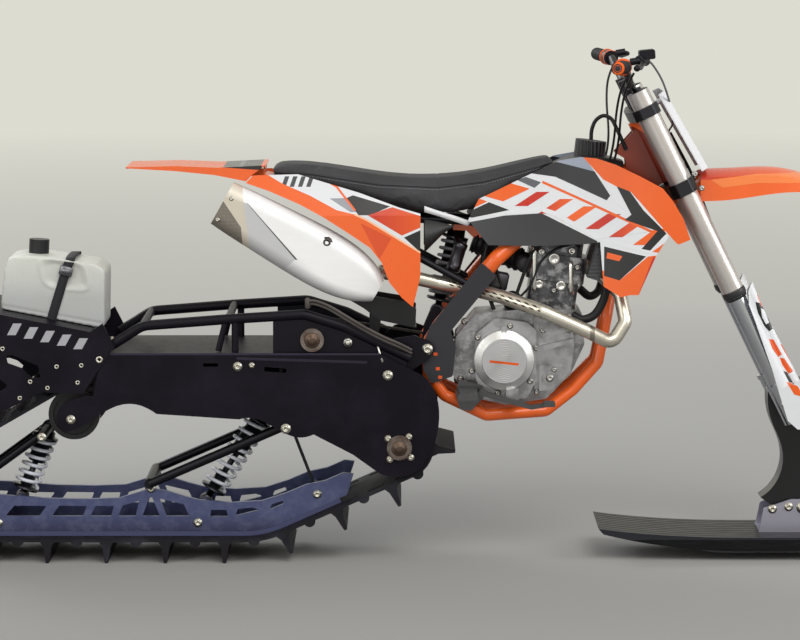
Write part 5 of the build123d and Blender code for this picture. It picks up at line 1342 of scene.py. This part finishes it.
class BIKE_OT_bar(bpy.types.Operator):
    """Grips, cables and small pieces at the handlebar"""
    bl_idname = "bike.bar"
    bl_label = "Handlebar"

    def execute(self, context):
        plastic, dark = tuple(context.scene.bike_colours.plastic), srgb(44, 44, 47)
        grip = Finish("two_tone_grip", dark, 0.66, shine=0.25)
        _, y, _ = grip.axes()
        flange = (abs(y) > 0.4028) | (abs(y) < 0.2895)
        grip.set("Base Color", grip.mix(worn(grip, dark), plastic, flange))
        grip.set("Roughness", grip.noise(40, 3) * 0.2 + 0.56)
        grip.bump(grip.cells(700), 0.0002)
        run = np.linspace(0.004, 0.116, 57)
        ribs = 0.0158 + 0.0011 * (np.sin(run * 2 * pi / 0.006) > 0)
        cover = [(0.0115, 0.0), (0.0165, 0.0015), *zip(ribs, run), (0.0170, 0.118), (0.0215, 0.120), (0.0215, 0.124),
                 (0.0115, 0.125)]
        housing = [(0.0115, 0.0), (0.019, 0.001), (0.020, 0.004), (0.020, 0.022), (0.017, 0.026), (0.0115, 0.027)]
        plug = [(0.006, -0.0008), (0.0078, 0.0005), (0.0078, 0.003)]
        ring = [(0.0115, 0.0), (0.0195, 0.0), (0.0205, 0.001), (0.0205, 0.005), (0.0195, 0.006), (0.0115, 0.006)]

        def on_bar(profile, sides, inwards):
            """A profile turned about the bar on both sides, at a distance from the bar's ends."""
            copies = []
            for side in (MIRROR, np.ones(3)):
                along = (GRIP_INNER - GRIP_END) * side
                along = along / np.linalg.norm(along)
                copies.append((GRIP_END * side + along * inwards, facing(along)))
            return many(*turned(profile, sides), copies)

        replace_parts(put("grip_covers", *on_bar(cover, 28, 0.0), "steering", "grip_rubber", grip.material), "grips")
        put("throttle_housings", *on_bar(housing, 24, 0.126), "steering", "bar_black",
            moulded("control_plastic", srgb(24, 24, 27), 0.4))
        put("bar_plugs", *on_bar(plug, 20, 0.0), "steering", "grip_rubber", rubbery("grip_rubber", dark, 0.66))
        put("perch_rings", *on_bar(ring, 24, 0.155), "steering", "plastic_orange",
            painted("perch_orange", plastic, 0.3, 0.4))

        line = np.array([(521, -206, 1294), (536, -190, 1288), (566, -140, 1245), (590, -80, 1190), (606, -10, 1142),
                         (609, 40, 1118), (606, 78, 1104), (604, 86, 1097)]) / 1000
        braid = woven("braided_line", srgb(96, 96, 98), 1800)
        put("brake_line", *tube(curve_through(line, 60), 0.0026, 10), "steering", "hose_rubber", braid)
        return {"FINISHED"}


class BIKE_OT_cables(bpy.types.Operator):
    """Throttle and clutch cables from the bar to the engine bay"""
    bl_idname = "bike.cables"
    bl_label = "Cables"

    def execute(self, context):
        rubber = rubbery("cable_rubber", srgb(20, 20, 22), 0.45)
        for name, shift in (("throttle_cable_front", 0.012), ("throttle_cable_rear", 0.0), ("clutch_cable", 0.0)):
            side = 1 if name == "clutch_cable" else -1
            points = [(474, 262, 1268), (462, 258, 1246), (452, 236, 1212), (448, 180, 1160), (450, 112, 1104),
                      (446, 82, 1060), (436, 72, 1020), (420, 66, 985)]
            route = np.array([(x / 1000 + shift, side * y / 1000, z / 1000) for x, y, z in points])
            path = smooth_route(route)
            piece = put(name, *tube(path, 0.0030, 10), None, "hose_rubber", rubber)
            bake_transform(piece)
        return {"FINISHED"}


class BIKE_OT_fork(bpy.types.Operator):
    """Caps, wiper seals and clamp bolts of the fork"""
    bl_idname = "bike.fork"
    bl_label = "Fork"

    def execute(self, context):
        black = moulded("seal_rubber", srgb(26, 26, 28), 0.5)
        bright = machined("fork_bolt", srgb(200, 200, 198), 0.28)
        seals, caps = [], []
        for side in (-LEG_SIDE, LEG_SIDE):
            axes = facing(DOWN, (0, 1, 0))
            seal = [(0.0245, 0.0), (0.0305, 0.001), (0.0312, 0.004), (0.0312, 0.016), (0.0290, 0.020),
                    (0.0270, 0.026), (0.0245, 0.027)]
            seals.append(many(*turned(seal, 32), [(on_fork(0.478, LEG_OFFSET, side), axes)]))
            cap = [(0.011, -0.009), (0.013, -0.008), (0.013, -0.003), (0.020, -0.002), (0.027, 0.0), (0.027, 0.004)]
            caps.append(many(*turned(cap, 24), [(on_fork(-0.087, LEG_OFFSET, side), axes)]))
        put("fork_seals", *joined(*seals), "steering", "bar_black", black)
        put("fork_caps", *joined(*caps), "steering", "clamp_alloy", machined("cap_alloy", srgb(70, 70, 76), 0.3))
        spots = []
        for down in (0.165, 0.205):
            x, _, z = on_fork(down, LEG_OFFSET + 0.040, 0) * 1000
            spots.append((x, -128, z, 5, 8))
        for down, ahead in ((0.800, 0.012), (0.836, 0.018)):
            x, _, z = on_fork(down, ahead, 0) * 1000
            spots.append((x, -134, z, 5.5, 6))
        axle = on_fork(0.866, LEG_OFFSET + 0.028, 0) * 1000
        spots.append((axle[0], -136, axle[2], 13, 7))
        put("fork_bolts", *bolts(both(spots)), "steering", "steel_bright", bright)
        return {"FINISHED"}


class BIKE_OT_seat(bpy.types.Operator):
    """Padded seat with its cover"""
    bl_idname = "bike.seat"
    bl_label = "Seat"
    sunk, pressure, frames = 0.7, 4, 20

    def execute(self, context):
        cover = Finish("seat_cover", srgb(56, 56, 58), 0.7, shine=0.3)
        x, _, z = cover.axes()
        top = cover.profile(x, [(-0.430, 1.014), (-0.330, 1.012), (-0.150, 0.985), (0.0, 0.978), (0.120, 0.992),
                                (0.230, 1.022), (0.306, 1.042)])
        drop = top - z
        seam = (abs(drop - 0.012) < 0.0012) * 1.0
        stitch = (abs(drop - 0.017) < 0.0009) * ((x * 900).math("SINE") > 0)
        fade = cover.ramp(cover.noise(7, 5), (0.35, 0.0), (0.75, 1.0))
        colour = cover.mix(srgb(52, 52, 54), srgb(80, 80, 83), fade * 0.45)
        colour = cover.mix(colour, srgb(24, 24, 26), seam)
        cover.set("Base Color", cover.mix(colour, srgb(130, 130, 134), stitch))
        cover.set("Roughness", cover.noise(40, 4) * 0.2 + 0.55)
        cover.bump(seam * -1.0 + stitch, 0.0015, after=cover.bump(cover.cells(260), 0.0006))

        # The cover starts a little inside the seat's surface and swells past it under pressure.
        swell = context.scene.bike_sizes.seat_swell
        pad = remeshed(context, "seat_pad", "seat", 0.005)
        at_rest = np.array([v.co for v in pad.data.vertices])
        normals = np.array([v.normal for v in pad.data.vertices])
        start = at_rest - normals * swell * self.sunk
        pad.data.vertices.foreach_set("co", start.ravel())
        cloth = pad.modifiers.new("swell", "CLOTH")
        cloth.settings.use_pressure = True
        cloth.settings.uniform_pressure_force = self.pressure
        cloth.settings.effector_weights.gravity = 0
        cloth.point_cache.frame_start, cloth.point_cache.frame_end = 1, self.frames
        for frame_number in range(1, self.frames + 1):
            context.scene.frame_set(frame_number)
        puffed = settled(context, pad)
        moved = np.array([v.co for v in puffed.vertices]) - start
        reach = np.linalg.norm(moved, axis=1)[:, None]
        start = start + moved * np.minimum(1, swell / np.maximum(reach, 1e-9))
        pad.modifiers.clear()
        context.scene.frame_set(1)
        pad.data.vertices.foreach_set("co", start.ravel())
        pad.data.update()
        pad.data.shade_smooth()
        pad.data.materials.clear()
        pad.data.materials.append(cover.material)
        levels = pad.modifiers.new("smooth", "SUBSURF")
        levels.levels = levels.render_levels = 1
        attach(pad, "chassis")
        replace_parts(pad, "seat")
        return {"FINISHED"}


class BIKE_PT_looks(bpy.types.Panel):
    """The steps in their order, and the settings"""
    bl_label = "Snow Bike"
    bl_space_type = "VIEW_3D"
    bl_region_type = "UI"
    bl_category = "Snow Bike"

    def draw(self, context):
        for settings in (context.scene.bike_colours, context.scene.bike_sizes):
            for name in settings.bl_rna.properties.keys():
                if name not in ("rna_type", "name"):
                    self.layout.prop(settings, name)
        for step in STEPS:
            self.layout.operator("bike." + step)


STEPS = ("stage", "finishes", "bodywork", "can", "exhaust", "kit", "ski", "engine", "intake", "bolts", "springs",
         "chain", "fittings", "bar", "cables", "fork", "seat")
CLASSES = (BikeColours, BikeSizes, BIKE_OT_stage, BIKE_OT_finishes, BIKE_OT_bodywork, BIKE_OT_can, BIKE_OT_exhaust,
           BIKE_OT_kit, BIKE_OT_ski, BIKE_OT_engine, BIKE_OT_intake, BIKE_OT_bolts, BIKE_OT_springs, BIKE_OT_chain,
           BIKE_OT_fittings, BIKE_OT_bar, BIKE_OT_cables, BIKE_OT_fork, BIKE_OT_seat, BIKE_PT_looks)


def register():
    """Add the operators, the panel and the settings."""
    for kind in CLASSES:
        bpy.utils.register_class(kind)
    bpy.types.Scene.bike_colours = bpy.props.PointerProperty(type=BikeColours)
    bpy.types.Scene.bike_sizes = bpy.props.PointerProperty(type=BikeSizes)


def unregister():
    """Take them out again."""
    del bpy.types.Scene.bike_sizes
    del bpy.types.Scene.bike_colours
    for kind in reversed(CLASSES):
        bpy.utils.unregister_class(kind)


def main():
    """Run every step."""
    register()
    for step in STEPS:
        getattr(bpy.ops.bike, step)()
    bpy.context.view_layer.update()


if __name__ == "__main__":
    main()
